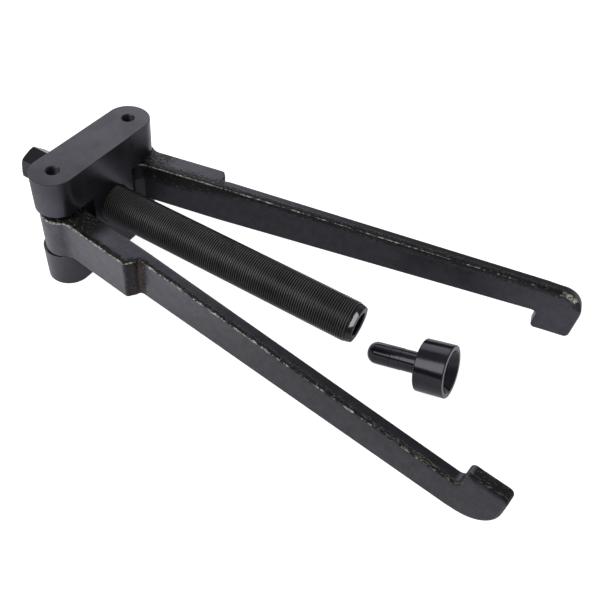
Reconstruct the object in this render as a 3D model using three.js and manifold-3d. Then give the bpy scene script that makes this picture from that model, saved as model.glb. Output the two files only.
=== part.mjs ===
// Gear puller: a slotted yoke, two hooked arms that swing on pivot bolts, a fine-thread forcing
// screw driven by a hexagon, and the loose push cup whose shank fits the bore in the screw's nose.
//
// Millimetres, +Z up. The origin is the middle of the yoke's base. +X runs along the forcing
// screw towards its nose, and +Y runs from the near pivot to the far one.

import * as THREE from 'three';
import { mergeVertices } from 'three/addons/utils/BufferGeometryUtils.js';
import loadManifold from 'manifold-3d';

const wasm = await loadManifold();
wasm.setup();

// Clearances
const PIVOT_CLEARANCE = 0.3;      // all round a pivot bolt, in the arms and in the yoke
const THREAD_CLEARANCE = 0.3;     // all round the forcing screw and the bolts' threads
const THRUST_CLEARANCE = 0.3;     // between a hub boss and the yoke's plate
const SWING_CLEARANCE = 3.4;      // between a knuckle and the yoke's web
const SHANK_CLEARANCE = 0.8;      // all round the push cup's shank in the screw's bore

// Yoke
const PIN_SPACING = 98;           // between the two pivots
const YOKE_WIDTH = 40;            // along the screw, and the diameter of the round ends
const YOKE_HEIGHT = 116;
const PLATE_THICKNESS = 34.6;     // the upper and the lower plate are alike
const YOKE_EDGE = 0.6;            // broken edges of the two outer faces
const BORE_EDGE = 1.5;            // countersink at both mouths of the screw's bore

// Pivot bolts, put in from below
const SHOULDER_RADIUS = 9.5;
const BOLT_HEAD_RADIUS = 14;
const BOLT_HEAD_HEIGHT = 12;
const BOLT_HEAD_DEPTH = 1;        // how far the head lies inside the yoke's base
const BOLT_THREAD_RADIUS = 5.6;   // core of the thread in the upper plate's tapped hole
const BOLT_END_DEPTH = 8;         // from the yoke's top down to the bolt's end
const BOLT_EDGE = 0.8;
const BOLT_KEY_FLATS = 12;        // hexagon socket, across its flats
const BOLT_KEY_DEPTH = 7;

// Arms, measured from the pivot along the arm, and up or down from the height of the screw
const INNER_OFFSET = 13.3;        // pivot to the arm's inner face
const PAD_THICKNESS = 24.5;
const BAR_THICKNESS = 12.4;
const PAD_LENGTH = 97;            // pivot to the foot of the step
const STEP_LEAN = 4.5;            // the step's top lies this far behind its foot
const STEP_FILLET = 2.5;
const STEP_ROUND = 2.2;           // the step's outer corner
const HOOK_SIDE_AT_PAD = 18.8;    // height of the arm on the side its hook points to
const HOOK_SIDE_AT_HOOK = 10.8;
const BACK_SIDE_AT_PAD = 21.2;
const BACK_SIDE_AT_HOOK = 17.5;
const HOOK_FILLET = 5;
const TIP_ROUND = 4.5;
const KNUCKLE_RADIUS = 19.6;
const KNUCKLE_OFFSET = 4;         // the knuckle's middle lies ahead of the pivot
const INNER_BLEND = 8;            // fillets from the knuckle to the arm's faces
const OUTER_BLEND = 12;
const HUB_RADIUS = 15;

// The two arms, cut by hand: splay in degrees, reach from the pivot to the hook's end, the hook's
// length along the arm, the rise of its tip above the bar, and the radius of the heel behind it
const NEAR_ARM = { splay: 7.2, reach: 433, hook: 32, rise: 17.6, heel: 28 };
const FAR_ARM = { splay: 11.4, reach: 434, hook: 34, rise: 20, heel: 21 };

// Forcing screw
const SCREW_RADIUS = 17.9;        // over the thread's crests
const SCREW_LENGTH = 357;
const SCREW_REACH = 275;          // where the nose stands, ahead of the pivots
const NOSE_LENGTH = 6.5;
const NOSE_RADIUS = 15.8;
const NOSE_BORE_DEPTH = 50;
const NOSE_BORE_EDGE = 0.8;
const HEX_FLATS = 30;
const HEX_LENGTH = 30;
const HEX_TURN = 20.8;            // degrees from the +Y side up to the hexagon's first corner
const HEX_END_RADIUS = 15.6;      // flat face left inside the hexagon's chamfer
const HEX_CHAMFER = 1.6;
const RUN_OUT = 1.6;              // chamfer where the thread ends beside the hexagon

// Push cup, lying on the surface that the yoke stands on
const CUP_RADIUS = 23.2;
const CUP_LENGTH = 25.8;
const CUP_EDGE = 0.8;
const CUP_MOUTH_RADIUS = 18.8;
const CUP_FLOOR_RADIUS = 14.7;
const CUP_DEPTH = 7.4;
const SHANK_RADIUS = 9.85;
const SHANK_LENGTH = 49.6;
const SHANK_NOSE_ROUND = 8.5;
const NECK_RADIUS = 9.6;          // the shank's thinner root
const NECK_LENGTH = 17.5;
const CUP_DISTANCE = 331.2;       // middle of the cup's back face, ahead of the pivots
const CUP_OFFSET = 23.3;          // and to the far arm's side of the screw
const CUP_YAW = 1.2;              // degrees from +X towards +Y

// Facets of a full turn
const ROUND_LARGE = 72;
const ROUND_SMALL = 40;

// Facets of one curve
const PLAN_STEPS = 14;            // in the arm from above
const PROFILE_STEPS = 10;         // in the arm from its side
const NOSE_STEPS = 5;             // of the round at the shank's end

const HEXAGON_CORNERS = 6;

// Sizes that follow from those above
const SLOT_HEIGHT = YOKE_HEIGHT - 2 * PLATE_THICKNESS;
const AXIS_HEIGHT = YOKE_HEIGHT / 2;
const WEB_WIDTH = PIN_SPACING - 2 * (KNUCKLE_RADIUS + SWING_CLEARANCE);
const HUB_HALF_HEIGHT = SLOT_HEIGHT / 2 - THRUST_CLEARANCE;
const PIVOT_BORE_RADIUS = SHOULDER_RADIUS + PIVOT_CLEARANCE;
const NOSE_BORE_RADIUS = SHANK_RADIUS + SHANK_CLEARANCE;
const HEX_BACK_X = SCREW_REACH - SCREW_LENGTH;
const BEYOND = 5;                 // how far a cutting body runs past the face that it cuts

/** A solid for joining and cutting, from a closed geometry. */
function solidOf(geometry) {
  const bare = geometry.clone();
  bare.deleteAttribute('normal');
  bare.deleteAttribute('uv');
  const merged = mergeVertices(bare, 1e-4);
  const corners = merged.index.array;
  const triangles = [];
  for (let i = 0; i < corners.length; i += 3) {
    const [a, b, c] = corners.slice(i, i + 3);
    if (a !== b && b !== c && c !== a) triangles.push(a, b, c);
  }
  return new wasm.Manifold(new wasm.Mesh({
    numProp: 3,
    vertProperties: new Float32Array(merged.attributes.position.array),
    triVerts: new Uint32Array(triangles),
  }));
}

/** A three.js geometry from a solid. */
function geometryOf(solid) {
  const mesh = solid.getMesh();
  const geometry = new THREE.BufferGeometry();
  geometry.setAttribute('position', new THREE.BufferAttribute(mesh.vertProperties, 3));
  geometry.setIndex(new THREE.BufferAttribute(mesh.triVerts, 1));
  geometry.computeVertexNormals();
  return geometry;
}

/** A body turned about the Z axis; the profile runs upwards as [radius, height] pairs. */
function turnedUp(profile, facets) {
  const points = profile.map(([radius, height]) => new THREE.Vector2(radius, height));
  return solidOf(new THREE.LatheGeometry(points, facets).rotateX(Math.PI / 2));
}

/** A body turned about the X axis; the profile runs forwards as [radius, x] pairs. */
function turnedForward(profile, facets) {
  const points = profile.map(([radius, x]) => new THREE.Vector2(radius, x));
  return solidOf(new THREE.LatheGeometry(points, facets).rotateZ(-Math.PI / 2));
}

/** An outline in the XY plane, raised from one height to another. */
function raised(shape, from, to, curveSegments = 1) {
  const options = { depth: to - from, bevelEnabled: false, curveSegments };
  return solidOf(new THREE.ExtrudeGeometry(shape, options).translate(0, 0, from));
}

/** A box given by its lowest and highest corners. */
function block(low, high) {
  const size = high.map((value, axis) => value - low[axis]);
  const middle = high.map((value, axis) => (value + low[axis]) / 2);
  return solidOf(new THREE.BoxGeometry(...size).translate(...middle));
}

/** A regular hexagon across its flats, with its first corner at the given angle. */
function hexagon(flats, turn = 0) {
  const shape = new THREE.Shape();
  const halfTurn = Math.PI / HEXAGON_CORNERS;
  const cornerRadius = flats / 2 / Math.cos(halfTurn);
  for (let corner = 0; corner < HEXAGON_CORNERS; corner += 1) {
    const angle = turn + 2 * halfTurn * corner;
    const point = [cornerRadius * Math.cos(angle), cornerRadius * Math.sin(angle)];
    if (corner === 0) shape.moveTo(...point);
    else shape.lineTo(...point);
  }
  shape.closePath();
  return shape;
}

/** The yoke's outline from above: straight sides and two round ends about the pivots. */
function yokeOutline() {
  const radius = YOKE_WIDTH / 2;
  const half = PIN_SPACING / 2;
  const shape = new THREE.Shape();
  shape.moveTo(radius, -half);
  shape.lineTo(radius, half);
  shape.absarc(0, half, radius, 0, Math.PI, false);
  shape.lineTo(-radius, -half);
  shape.absarc(0, -half, radius, Math.PI, 2 * Math.PI, false);
  return shape;
}

/** The yoke: two plates joined by a web, with slots for the arms and bores for screw and bolts. */
function makeYoke() {
  const edges = {
    depth: YOKE_HEIGHT - 2 * YOKE_EDGE,
    bevelThickness: YOKE_EDGE,
    bevelSize: YOKE_EDGE,
    bevelOffset: -YOKE_EDGE,
    bevelSegments: 1,
    curveSegments: ROUND_LARGE / 2,
  };
  const body = new THREE.ExtrudeGeometry(yokeOutline(), edges).translate(0, 0, YOKE_EDGE);
  let yoke = solidOf(body);

  const far = PIN_SPACING / 2 + YOKE_WIDTH;
  const low = PLATE_THICKNESS;
  const high = YOKE_HEIGHT - PLATE_THICKNESS;
  for (const side of [-1, 1]) {
    const span = [side * WEB_WIDTH / 2, side * far].sort((a, b) => a - b);
    yoke = yoke.subtract(block([-YOKE_WIDTH, span[0], low], [YOKE_WIDTH, span[1], high]));
  }

  const bore = SCREW_RADIUS + THREAD_CLEARANCE;
  const face = YOKE_WIDTH / 2;
  const screwBore = turnedForward([
    [0, -face - BEYOND],
    [bore + BORE_EDGE + BEYOND, -face - BEYOND],
    [bore, -face + BORE_EDGE],
    [bore, face - BORE_EDGE],
    [bore + BORE_EDGE + BEYOND, face + BEYOND],
    [0, face + BEYOND],
  ], ROUND_LARGE);
  yoke = yoke.subtract(screwBore.translate([0, 0, AXIS_HEIGHT]));

  const headSeat = BOLT_HEAD_DEPTH + BOLT_HEAD_HEIGHT + PIVOT_CLEARANCE;
  const boltHole = turnedUp([
    [0, -BEYOND],
    [BOLT_HEAD_RADIUS + PIVOT_CLEARANCE, -BEYOND],
    [BOLT_HEAD_RADIUS + PIVOT_CLEARANCE, headSeat],
    [PIVOT_BORE_RADIUS, headSeat],
    [PIVOT_BORE_RADIUS, high],
    [BOLT_THREAD_RADIUS + THREAD_CLEARANCE, high],
    [BOLT_THREAD_RADIUS + THREAD_CLEARANCE, YOKE_HEIGHT + BEYOND],
    [0, YOKE_HEIGHT + BEYOND],
  ], ROUND_SMALL);
  for (const side of [-1, 1]) {
    yoke = yoke.subtract(boltHole.translate([0, side * PIN_SPACING / 2, 0]));
  }
  return geometryOf(yoke);
}

/** A shoulder bolt standing on Z, with its head down and a hexagon socket in the head. */
function makePivotBolt() {
  const headTop = BOLT_HEAD_DEPTH + BOLT_HEAD_HEIGHT;
  const shoulderTop = YOKE_HEIGHT - PLATE_THICKNESS - THRUST_CLEARANCE;
  const end = YOKE_HEIGHT - BOLT_END_DEPTH;
  const bolt = turnedUp([
    [0, BOLT_HEAD_DEPTH],
    [BOLT_HEAD_RADIUS - BOLT_EDGE, BOLT_HEAD_DEPTH],
    [BOLT_HEAD_RADIUS, BOLT_HEAD_DEPTH + BOLT_EDGE],
    [BOLT_HEAD_RADIUS, headTop],
    [SHOULDER_RADIUS, headTop],
    [SHOULDER_RADIUS, shoulderTop],
    [BOLT_THREAD_RADIUS, shoulderTop],
    [BOLT_THREAD_RADIUS, end - BOLT_EDGE],
    [BOLT_THREAD_RADIUS - BOLT_EDGE, end],
    [0, end],
  ], ROUND_SMALL);
  const socket = raised(hexagon(BOLT_KEY_FLATS), -BEYOND, BOLT_HEAD_DEPTH + BOLT_KEY_DEPTH);
  return geometryOf(bolt.subtract(socket));
}

/** An arm from above, hooked end to +X, with the side that faces the screw towards +Y. */
function armPlan({ reach }) {
  const inner = INNER_OFFSET;
  const barOuter = inner - BAR_THICKNESS;
  const padOuter = inner - PAD_THICKNESS;
  const innerBlendX = KNUCKLE_OFFSET + Math.sqrt(
    (KNUCKLE_RADIUS + INNER_BLEND) ** 2 - (inner + INNER_BLEND) ** 2);
  const outerBlendX = KNUCKLE_OFFSET + Math.sqrt(
    (KNUCKLE_RADIUS + OUTER_BLEND) ** 2 - (OUTER_BLEND - padOuter) ** 2);
  const innerAngle = Math.atan2(inner + INNER_BLEND, innerBlendX - KNUCKLE_OFFSET);
  const outerAngle = Math.atan2(OUTER_BLEND - padOuter, outerBlendX - KNUCKLE_OFFSET);

  const shape = new THREE.Shape();
  shape.moveTo(reach, barOuter);
  shape.lineTo(reach, inner);
  shape.lineTo(innerBlendX, inner);
  shape.absarc(innerBlendX, inner + INNER_BLEND, INNER_BLEND,
    -Math.PI / 2, innerAngle - Math.PI, true);
  shape.absarc(KNUCKLE_OFFSET, 0, KNUCKLE_RADIUS, innerAngle, 2 * Math.PI - outerAngle, false);
  shape.absarc(outerBlendX, padOuter - OUTER_BLEND, OUTER_BLEND,
    Math.PI - outerAngle, Math.PI / 2, true);
  const corner = PAD_LENGTH - STEP_LEAN;
  const lean = STEP_LEAN / (PAD_THICKNESS - BAR_THICKNESS - STEP_FILLET);
  shape.lineTo(corner - STEP_ROUND, padOuter);
  shape.quadraticCurveTo(corner, padOuter, corner + STEP_ROUND * lean, padOuter + STEP_ROUND);
  shape.lineTo(PAD_LENGTH, barOuter - STEP_FILLET);
  shape.quadraticCurveTo(PAD_LENGTH, barOuter, PAD_LENGTH + STEP_FILLET, barOuter);
  shape.closePath();
  return shape;
}

/** An arm from its side, drawn as x and height, with the hook pointing up. */
function armProfile({ reach, hook, rise, heel }) {
  const back = KNUCKLE_OFFSET - KNUCKLE_RADIUS - BEYOND;
  const face = reach - hook;
  const tip = HOOK_SIDE_AT_HOOK + rise;
  const shape = new THREE.Shape();
  shape.moveTo(back, -BACK_SIDE_AT_PAD);
  shape.lineTo(PAD_LENGTH, -BACK_SIDE_AT_PAD);
  shape.lineTo(reach - heel, -BACK_SIDE_AT_HOOK);
  shape.absarc(reach - heel, heel - BACK_SIDE_AT_HOOK, heel, -Math.PI / 2, 0, false);
  shape.absarc(reach - TIP_ROUND, tip - TIP_ROUND, TIP_ROUND, 0, Math.PI / 2, false);
  shape.absarc(face + TIP_ROUND, tip - TIP_ROUND, TIP_ROUND, Math.PI / 2, Math.PI, false);
  shape.absarc(face - HOOK_FILLET, HOOK_SIDE_AT_HOOK + HOOK_FILLET, HOOK_FILLET,
    0, -Math.PI / 2, true);
  shape.lineTo(PAD_LENGTH, HOOK_SIDE_AT_PAD);
  shape.lineTo(back, HOOK_SIDE_AT_PAD);
  shape.closePath();
  return shape;
}

/** One arm about its own pivot: its plan and its side view crossed, with hub bosses and bore. */
function makeArm(sizes) {
  const tall = HOOK_SIDE_AT_PAD + BACK_SIDE_AT_PAD;
  const wide = 2 * KNUCKLE_RADIUS;
  const plan = raised(armPlan(sizes), -tall, tall, PLAN_STEPS);
  const side = raised(armProfile(sizes), -wide, wide, PROFILE_STEPS).rotate([90, 0, 0]);
  const hub = turnedUp([
    [0, -HUB_HALF_HEIGHT],
    [HUB_RADIUS, -HUB_HALF_HEIGHT],
    [HUB_RADIUS, HUB_HALF_HEIGHT],
    [0, HUB_HALF_HEIGHT],
  ], ROUND_SMALL);
  const bore = turnedUp([
    [0, -tall],
    [PIVOT_BORE_RADIUS, -tall],
    [PIVOT_BORE_RADIUS, tall],
    [0, tall],
  ], ROUND_SMALL);
  return geometryOf(plan.intersect(side).add(hub).subtract(bore));
}

/** The forcing screw along X, with its hexagon behind and its bored nose in front. */
function makeForcingScrew() {
  const hexFront = HEX_BACK_X + HEX_LENGTH;
  const nose = SCREW_REACH;
  const turned = turnedForward([
    [0, HEX_BACK_X],
    [HEX_END_RADIUS, HEX_BACK_X],
    [HEX_END_RADIUS + HEX_CHAMFER, HEX_BACK_X + HEX_CHAMFER],
    [SCREW_RADIUS, HEX_BACK_X + 2 * HEX_CHAMFER],
    [SCREW_RADIUS, nose - NOSE_LENGTH],
    [NOSE_RADIUS, nose],
    [NOSE_BORE_RADIUS + NOSE_BORE_EDGE, nose],
    [NOSE_BORE_RADIUS, nose - NOSE_BORE_EDGE],
    [NOSE_BORE_RADIUS, nose - NOSE_BORE_DEPTH],
    [0, nose - NOSE_BORE_DEPTH],
  ], ROUND_LARGE);
  const flats = raised(hexagon(HEX_FLATS, THREE.MathUtils.degToRad(HEX_TURN)), 0, HEX_LENGTH)
    .rotate([90, 0, 90])
    .translate([HEX_BACK_X, 0, 0]);
  const threaded = turnedForward([
    [0, hexFront],
    [SCREW_RADIUS - RUN_OUT, hexFront],
    [SCREW_RADIUS, hexFront + RUN_OUT],
    [SCREW_RADIUS, nose],
    [0, nose],
  ], ROUND_LARGE);
  return geometryOf(turned.intersect(flats.add(threaded)));
}

/** The push cup along X from the middle of its back face: shank behind, conical mouth in front. */
function makePushCup() {
  const nose = [];
  for (let step = 0; step <= NOSE_STEPS; step += 1) {
    const angle = step / NOSE_STEPS * Math.PI / 2;
    nose.push([
      SHANK_RADIUS - SHANK_NOSE_ROUND * (1 - Math.sin(angle)),
      SHANK_NOSE_ROUND * (1 - Math.cos(angle)) - SHANK_LENGTH,
    ]);
  }
  return geometryOf(turnedForward([
    [0, -SHANK_LENGTH],
    ...nose,
    [SHANK_RADIUS, -NECK_LENGTH],
    [NECK_RADIUS, -NECK_LENGTH],
    [NECK_RADIUS, 0],
    [CUP_RADIUS - CUP_EDGE, 0],
    [CUP_RADIUS, CUP_EDGE],
    [CUP_RADIUS, CUP_LENGTH - CUP_EDGE],
    [CUP_RADIUS - CUP_EDGE, CUP_LENGTH],
    [CUP_MOUTH_RADIUS, CUP_LENGTH],
    [CUP_FLOOR_RADIUS, CUP_LENGTH - CUP_DEPTH],
    [0, CUP_LENGTH - CUP_DEPTH],
  ], ROUND_LARGE));
}

const machinedSteel = { color: 0x4b4a4f, roughness: 0.42, metalness: 0.75 };
const cutPlateSteel = { color: 0x434246, roughness: 0.5, metalness: 0.7 };
const boltSteel = { color: 0x2e2d30, roughness: 0.4, metalness: 0.8 };
const threadedSteel = { color: 0x363538, roughness: 0.38, metalness: 0.8 };
const glossSteel = { color: 0x29282c, roughness: 0.28, metalness: 0.8 };

/** A named mesh with a material of its own. */
function piece(name, geometry, finish) {
  const mesh = new THREE.Mesh(geometry, new THREE.MeshStandardMaterial(finish));
  mesh.name = name;
  return mesh;
}

/** An arm on its pivot, swung away from the screw; the far one is turned over. */
function placedArm(name, side, sizes) {
  const pivot = new THREE.Group();
  pivot.position.set(0, side * PIN_SPACING / 2, AXIS_HEIGHT);
  pivot.rotation.z = side * THREE.MathUtils.degToRad(sizes.splay);
  const arm = piece(name, makeArm(sizes), cutPlateSteel);
  if (side > 0) arm.rotation.x = Math.PI;
  pivot.add(arm);
  return pivot;
}

/** A pivot bolt in its place in the yoke. */
function placedBolt(name, side) {
  const bolt = piece(name, makePivotBolt(), boltSteel);
  bolt.position.y = side * PIN_SPACING / 2;
  return bolt;
}

/** The push cup at rest on its back edge and the round of its shank, so that its mouth tips up. */
function placedPushCup() {
  const along = SHANK_LENGTH - SHANK_NOSE_ROUND + CUP_EDGE;
  const across = CUP_RADIUS - SHANK_RADIUS + SHANK_NOSE_ROUND;
  const tilt = Math.atan2(across, along)
    - Math.asin(SHANK_NOSE_ROUND / Math.hypot(along, across));
  const spot = new THREE.Group();
  const height = CUP_RADIUS * Math.cos(tilt) - CUP_EDGE * Math.sin(tilt);
  spot.position.set(CUP_DISTANCE, CUP_OFFSET, height);
  spot.rotation.z = THREE.MathUtils.degToRad(CUP_YAW);
  const cup = piece('push_cup', makePushCup(), glossSteel);
  cup.rotation.y = -tilt;
  spot.add(cup);
  return spot;
}

const screw = piece('forcing_screw', makeForcingScrew(), threadedSteel);
screw.position.z = AXIS_HEIGHT;

const puller = new THREE.Group();
puller.name = 'gear_puller';
puller.add(piece('yoke', makeYoke(), machinedSteel));
puller.add(placedBolt('near_pivot_bolt', -1));
puller.add(placedBolt('far_pivot_bolt', 1));
puller.add(placedArm('near_arm', -1, NEAR_ARM));
puller.add(placedArm('far_arm', 1, FAR_ARM));
puller.add(screw);
puller.add(placedPushCup());

export default puller;
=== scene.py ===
"""Looks of a two-arm gear puller, built round its fixed CAD frame.

Lengths are in metres, in the row frame: +X along the forcing screw to its nose, +Y from the near
pivot to the far one, +Z up, and the origin in the middle of the yoke's base.
"""

import logging
import math
from collections.abc import Iterable, Sequence
from dataclasses import dataclass, field
from enum import Enum
from typing import ClassVar

import bmesh
import bpy
import numpy as np
from mathutils import Matrix, Vector, noise


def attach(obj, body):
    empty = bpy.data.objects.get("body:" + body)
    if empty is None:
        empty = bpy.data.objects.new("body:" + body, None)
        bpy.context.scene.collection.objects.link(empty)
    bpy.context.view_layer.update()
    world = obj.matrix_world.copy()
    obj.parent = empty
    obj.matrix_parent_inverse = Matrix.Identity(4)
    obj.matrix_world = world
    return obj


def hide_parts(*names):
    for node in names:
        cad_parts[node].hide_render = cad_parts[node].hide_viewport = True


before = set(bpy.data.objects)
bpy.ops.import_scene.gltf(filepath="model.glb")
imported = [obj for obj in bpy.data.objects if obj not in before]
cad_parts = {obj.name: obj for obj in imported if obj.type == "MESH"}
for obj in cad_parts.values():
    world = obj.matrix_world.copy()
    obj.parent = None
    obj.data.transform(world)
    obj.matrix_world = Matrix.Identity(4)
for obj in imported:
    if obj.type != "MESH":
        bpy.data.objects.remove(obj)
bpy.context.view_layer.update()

log = logging.getLogger("gear_puller")

MM = 0.001
INCH = 25.4 * MM
PIN_SPACING = 98.0 * MM
AXIS_HEIGHT = 58.0 * MM

# Stands a body that was made along X on the Z axis.
UPRIGHT = Matrix(((0.0, 1.0, 0.0, 0.0), (0.0, 0.0, 1.0, 0.0), (1.0, 0.0, 0.0, 0.0), (0.0, 0.0, 0.0, 1.0)))

Colour = tuple[float, float, float]
Place = tuple[float, float, float]
Pair = tuple[float, float]
Line = list[Pair]
Socket = bpy.types.NodeSocket


class NodeBoard:
    """Adds nodes to one tree and links them."""

    def __init__(self, tree: bpy.types.NodeTree) -> None:
        """Takes over an empty or existing tree.

        Args:
            tree: A shader or geometry node tree.
        """
        self.tree = tree

    def feed(self, socket: Socket, value: object) -> None:
        """Links a socket to an input, or sets the input's own value.

        Args:
            socket: The input.
            value: An output socket, a number, or a sequence of numbers.
        """
        if isinstance(value, bpy.types.NodeSocket):
            self.tree.links.new(value, socket)
            return
        if socket.type == "RGBA" and not isinstance(value, (int, float)) and len(value) == 3:
            value = (*value, 1.0)
        socket.default_value = value

    def add(
        self, kind: str, inputs: dict[object, object] | None = None, **settings: object,
    ) -> bpy.types.Node:
        """Adds a node.

        Args:
            kind: The node's type name.
            inputs: Values or sockets by input name or number.
            **settings: Properties of the node.

        Returns:
            The node.
        """
        node = self.tree.nodes.new(kind)
        for name, value in settings.items():
            setattr(node, name, value)
        for key, value in (inputs or {}).items():
            self.feed(node.inputs[key], value)
        return node

    def math(self, operation: str, *values: object) -> Socket:
        """Adds a Math node and returns its output."""
        return self.add("ShaderNodeMath", dict(enumerate(values)), operation=operation).outputs[0]

    def plus(self, first: object, second: object) -> Socket:
        """The sum of two values."""
        return self.math("ADD", first, second)

    def minus(self, first: object, second: object) -> Socket:
        """The first value less the second."""
        return self.math("SUBTRACT", first, second)

    def times(self, first: object, second: object) -> Socket:
        """The product of two values."""
        return self.math("MULTIPLY", first, second)

    def axes(self, place: Socket) -> bpy.types.bpy_prop_collection:
        """The three parts of a vector, as outputs 0, 1 and 2."""
        return self.add("ShaderNodeSeparateXYZ", {0: place}).outputs

    def dot(self, first: object, second: object) -> Socket:
        """The scalar product of two vectors."""
        node = self.add("ShaderNodeVectorMath", {0: first, 1: second}, operation="DOT_PRODUCT")
        return node.outputs["Value"]

    def rescale(
        self, value: Socket, low: float, high: float, to_low: float = 0.0, to_high: float = 1.0,
    ) -> Socket:
        """Maps a stretch of values smoothly to another, held at both ends.

        Args:
            value: The socket to map.
            low: Where the stretch starts.
            high: Where it ends.
            to_low: The result at the start.
            to_high: The result at the end.

        Returns:
            The mapped value.
        """
        inputs = {"Value": value, "From Min": low, "From Max": high, "To Min": to_low, "To Max": to_high}
        return self.add("ShaderNodeMapRange", inputs, interpolation_type="SMOOTHSTEP").outputs[0]

    def mixed(self, share: object, first: object, second: object) -> Socket:
        """Mixes two colours by a share.

        Args:
            share: How much of the second colour there is.
            first: One colour.
            second: The other.

        Returns:
            The mixture.
        """
        return self.add("ShaderNodeMix", {0: share, 6: first, 7: second}, data_type="RGBA").outputs[2]


class ShaderBoard(NodeBoard):
    """A node board for a material, with the textures that its finishes share."""

    def __init__(self, material: bpy.types.Material) -> None:
        """Empties the material's tree and adds its shader and output.

        Args:
            material: The material to build.
        """
        material.use_nodes = True
        material.node_tree.nodes.clear()
        super().__init__(material.node_tree)
        self.place = self.add("ShaderNodeTexCoord").outputs["Object"]
        self.shader = self.add("ShaderNodeBsdfPrincipled")
        self.output = self.add("ShaderNodeOutputMaterial", {"Surface": self.shader.outputs[0]})

    def stretched(self, scale: Sequence[float], turn: Sequence[float] = (0.0, 0.0, 0.0)) -> Socket:
        """The object coordinates, turned and then stretched along each axis.

        Args:
            scale: Factors along the three turned axes.
            turn: Euler angles in radians that bring the piece's own axes to X, Y and Z.

        Returns:
            The coordinates.
        """
        turned = self.add("ShaderNodeMapping", {"Vector": self.place, "Rotation": turn}).outputs[0]
        return self.add("ShaderNodeVectorMath", {0: turned, 1: scale}, operation="MULTIPLY").outputs[0]

    def noise(
        self, scale: float, detail: float = 3.0, place: Socket | None = None, rough: float = 0.5,
    ) -> Socket:
        """A noise texture in waves a metre.

        Args:
            scale: How many waves a metre.
            detail: Octaves.
            place: Coordinates, or None for the object's own.
            rough: How strong the fine octaves are.

        Returns:
            The noise, around 0.5.
        """
        inputs = {"Vector": place or self.place, "Scale": scale, "Detail": detail, "Roughness": rough}
        return self.add("ShaderNodeTexNoise", inputs).outputs[0]

    def attribute(self, name: str) -> Socket:
        """The value that the mesh carries under a name."""
        return self.add("ShaderNodeAttribute", attribute_name=name).outputs["Fac"]

    def edges(self, radius: float) -> Socket:
        """How near a point is to a sharp edge: 1 on it, and 0 from about the radius away.

        Args:
            radius: The reach, in metres.

        Returns:
            The share.
        """
        soft = self.add("ShaderNodeBevel", {"Radius": radius}, samples=6).outputs[0]
        true = self.add("ShaderNodeNewGeometry").outputs["Normal"]
        return self.rescale(self.dot(soft, true), 0.985, 0.85)

    def bump(self, heights: Iterable[tuple[Socket, float]]) -> None:
        """Chains bumps on the shader's normal.

        Args:
            heights: Height sockets and how many metres each unit of height is.
        """
        normal = None
        for height, distance in heights:
            node = self.add("ShaderNodeBump", {"Height": height, "Distance": distance, "Strength": 1.0})
            if normal is not None:
                self.feed(node.inputs["Normal"], normal)
            normal = node.outputs[0]
        self.feed(self.shader.inputs["Normal"], normal)


def scaled(colour: Colour, factor: float) -> Colour:
    """A colour made lighter or darker."""
    return tuple(factor * c for c in colour)


@dataclass(frozen=True)
class BlackFinish:
    """Blackened steel: near-black, with a soft sheen and bare metal on worn edges."""

    name: str
    black: Colour = (0.0105, 0.0100, 0.0115)
    bare: Colour = (0.37, 0.355, 0.33)
    roughness: float = 0.34
    uneven: float = 0.08
    gloss: float = 0.5
    sheen: Colour = (0.885, 0.865, 1.0)
    cloud_waves: float = 38.0
    grain_waves: float = 900.0
    grain_depth: float = 0.004 * MM
    chip_waves: float = 210.0
    chip_range: Pair = (0.58, 0.63)
    edge_reach: float = 0.8 * MM
    edge_wear: float = 0.7

    def build(self) -> bpy.types.Material:
        """Builds the material.

        Returns:
            The material, with the plain levels set on its shader.
        """
        material = bpy.data.materials.new(self.name)
        board = ShaderBoard(material)
        board.feed(board.shader.inputs["Specular IOR Level"], self.gloss)
        board.feed(board.shader.inputs["Specular Tint"], self.sheen)
        self.dress(board)
        return material

    def dress(self, board: ShaderBoard) -> None:
        """Gives the surface its tone, its sheen and its worn edges.

        Args:
            board: The material's board.
        """
        cloud = board.noise(self.cloud_waves, 4.0)
        tone = board.mixed(board.rescale(cloud, 0.3, 0.7), self.black, scaled(self.black, 1.35))
        chips = board.rescale(board.noise(self.chip_waves, 5.0, rough=0.65), *self.chip_range)
        worn = board.times(board.times(board.edges(self.edge_reach), chips), self.edge_wear)
        board.feed(board.shader.inputs["Base Color"], board.mixed(worn, tone, self.bare))
        board.feed(board.shader.inputs["Metallic"], worn)
        sheen = board.rescale(cloud, 0.3, 0.7, self.roughness - self.uneven, self.roughness + self.uneven)
        board.feed(board.shader.inputs["Roughness"], sheen)
        board.bump(self.relief(board))

    def relief(self, board: ShaderBoard) -> list[tuple[Socket, float]]:
        """A fine grain, as its height and how deep it is."""
        return [(board.noise(self.grain_waves), self.grain_depth)]


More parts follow.
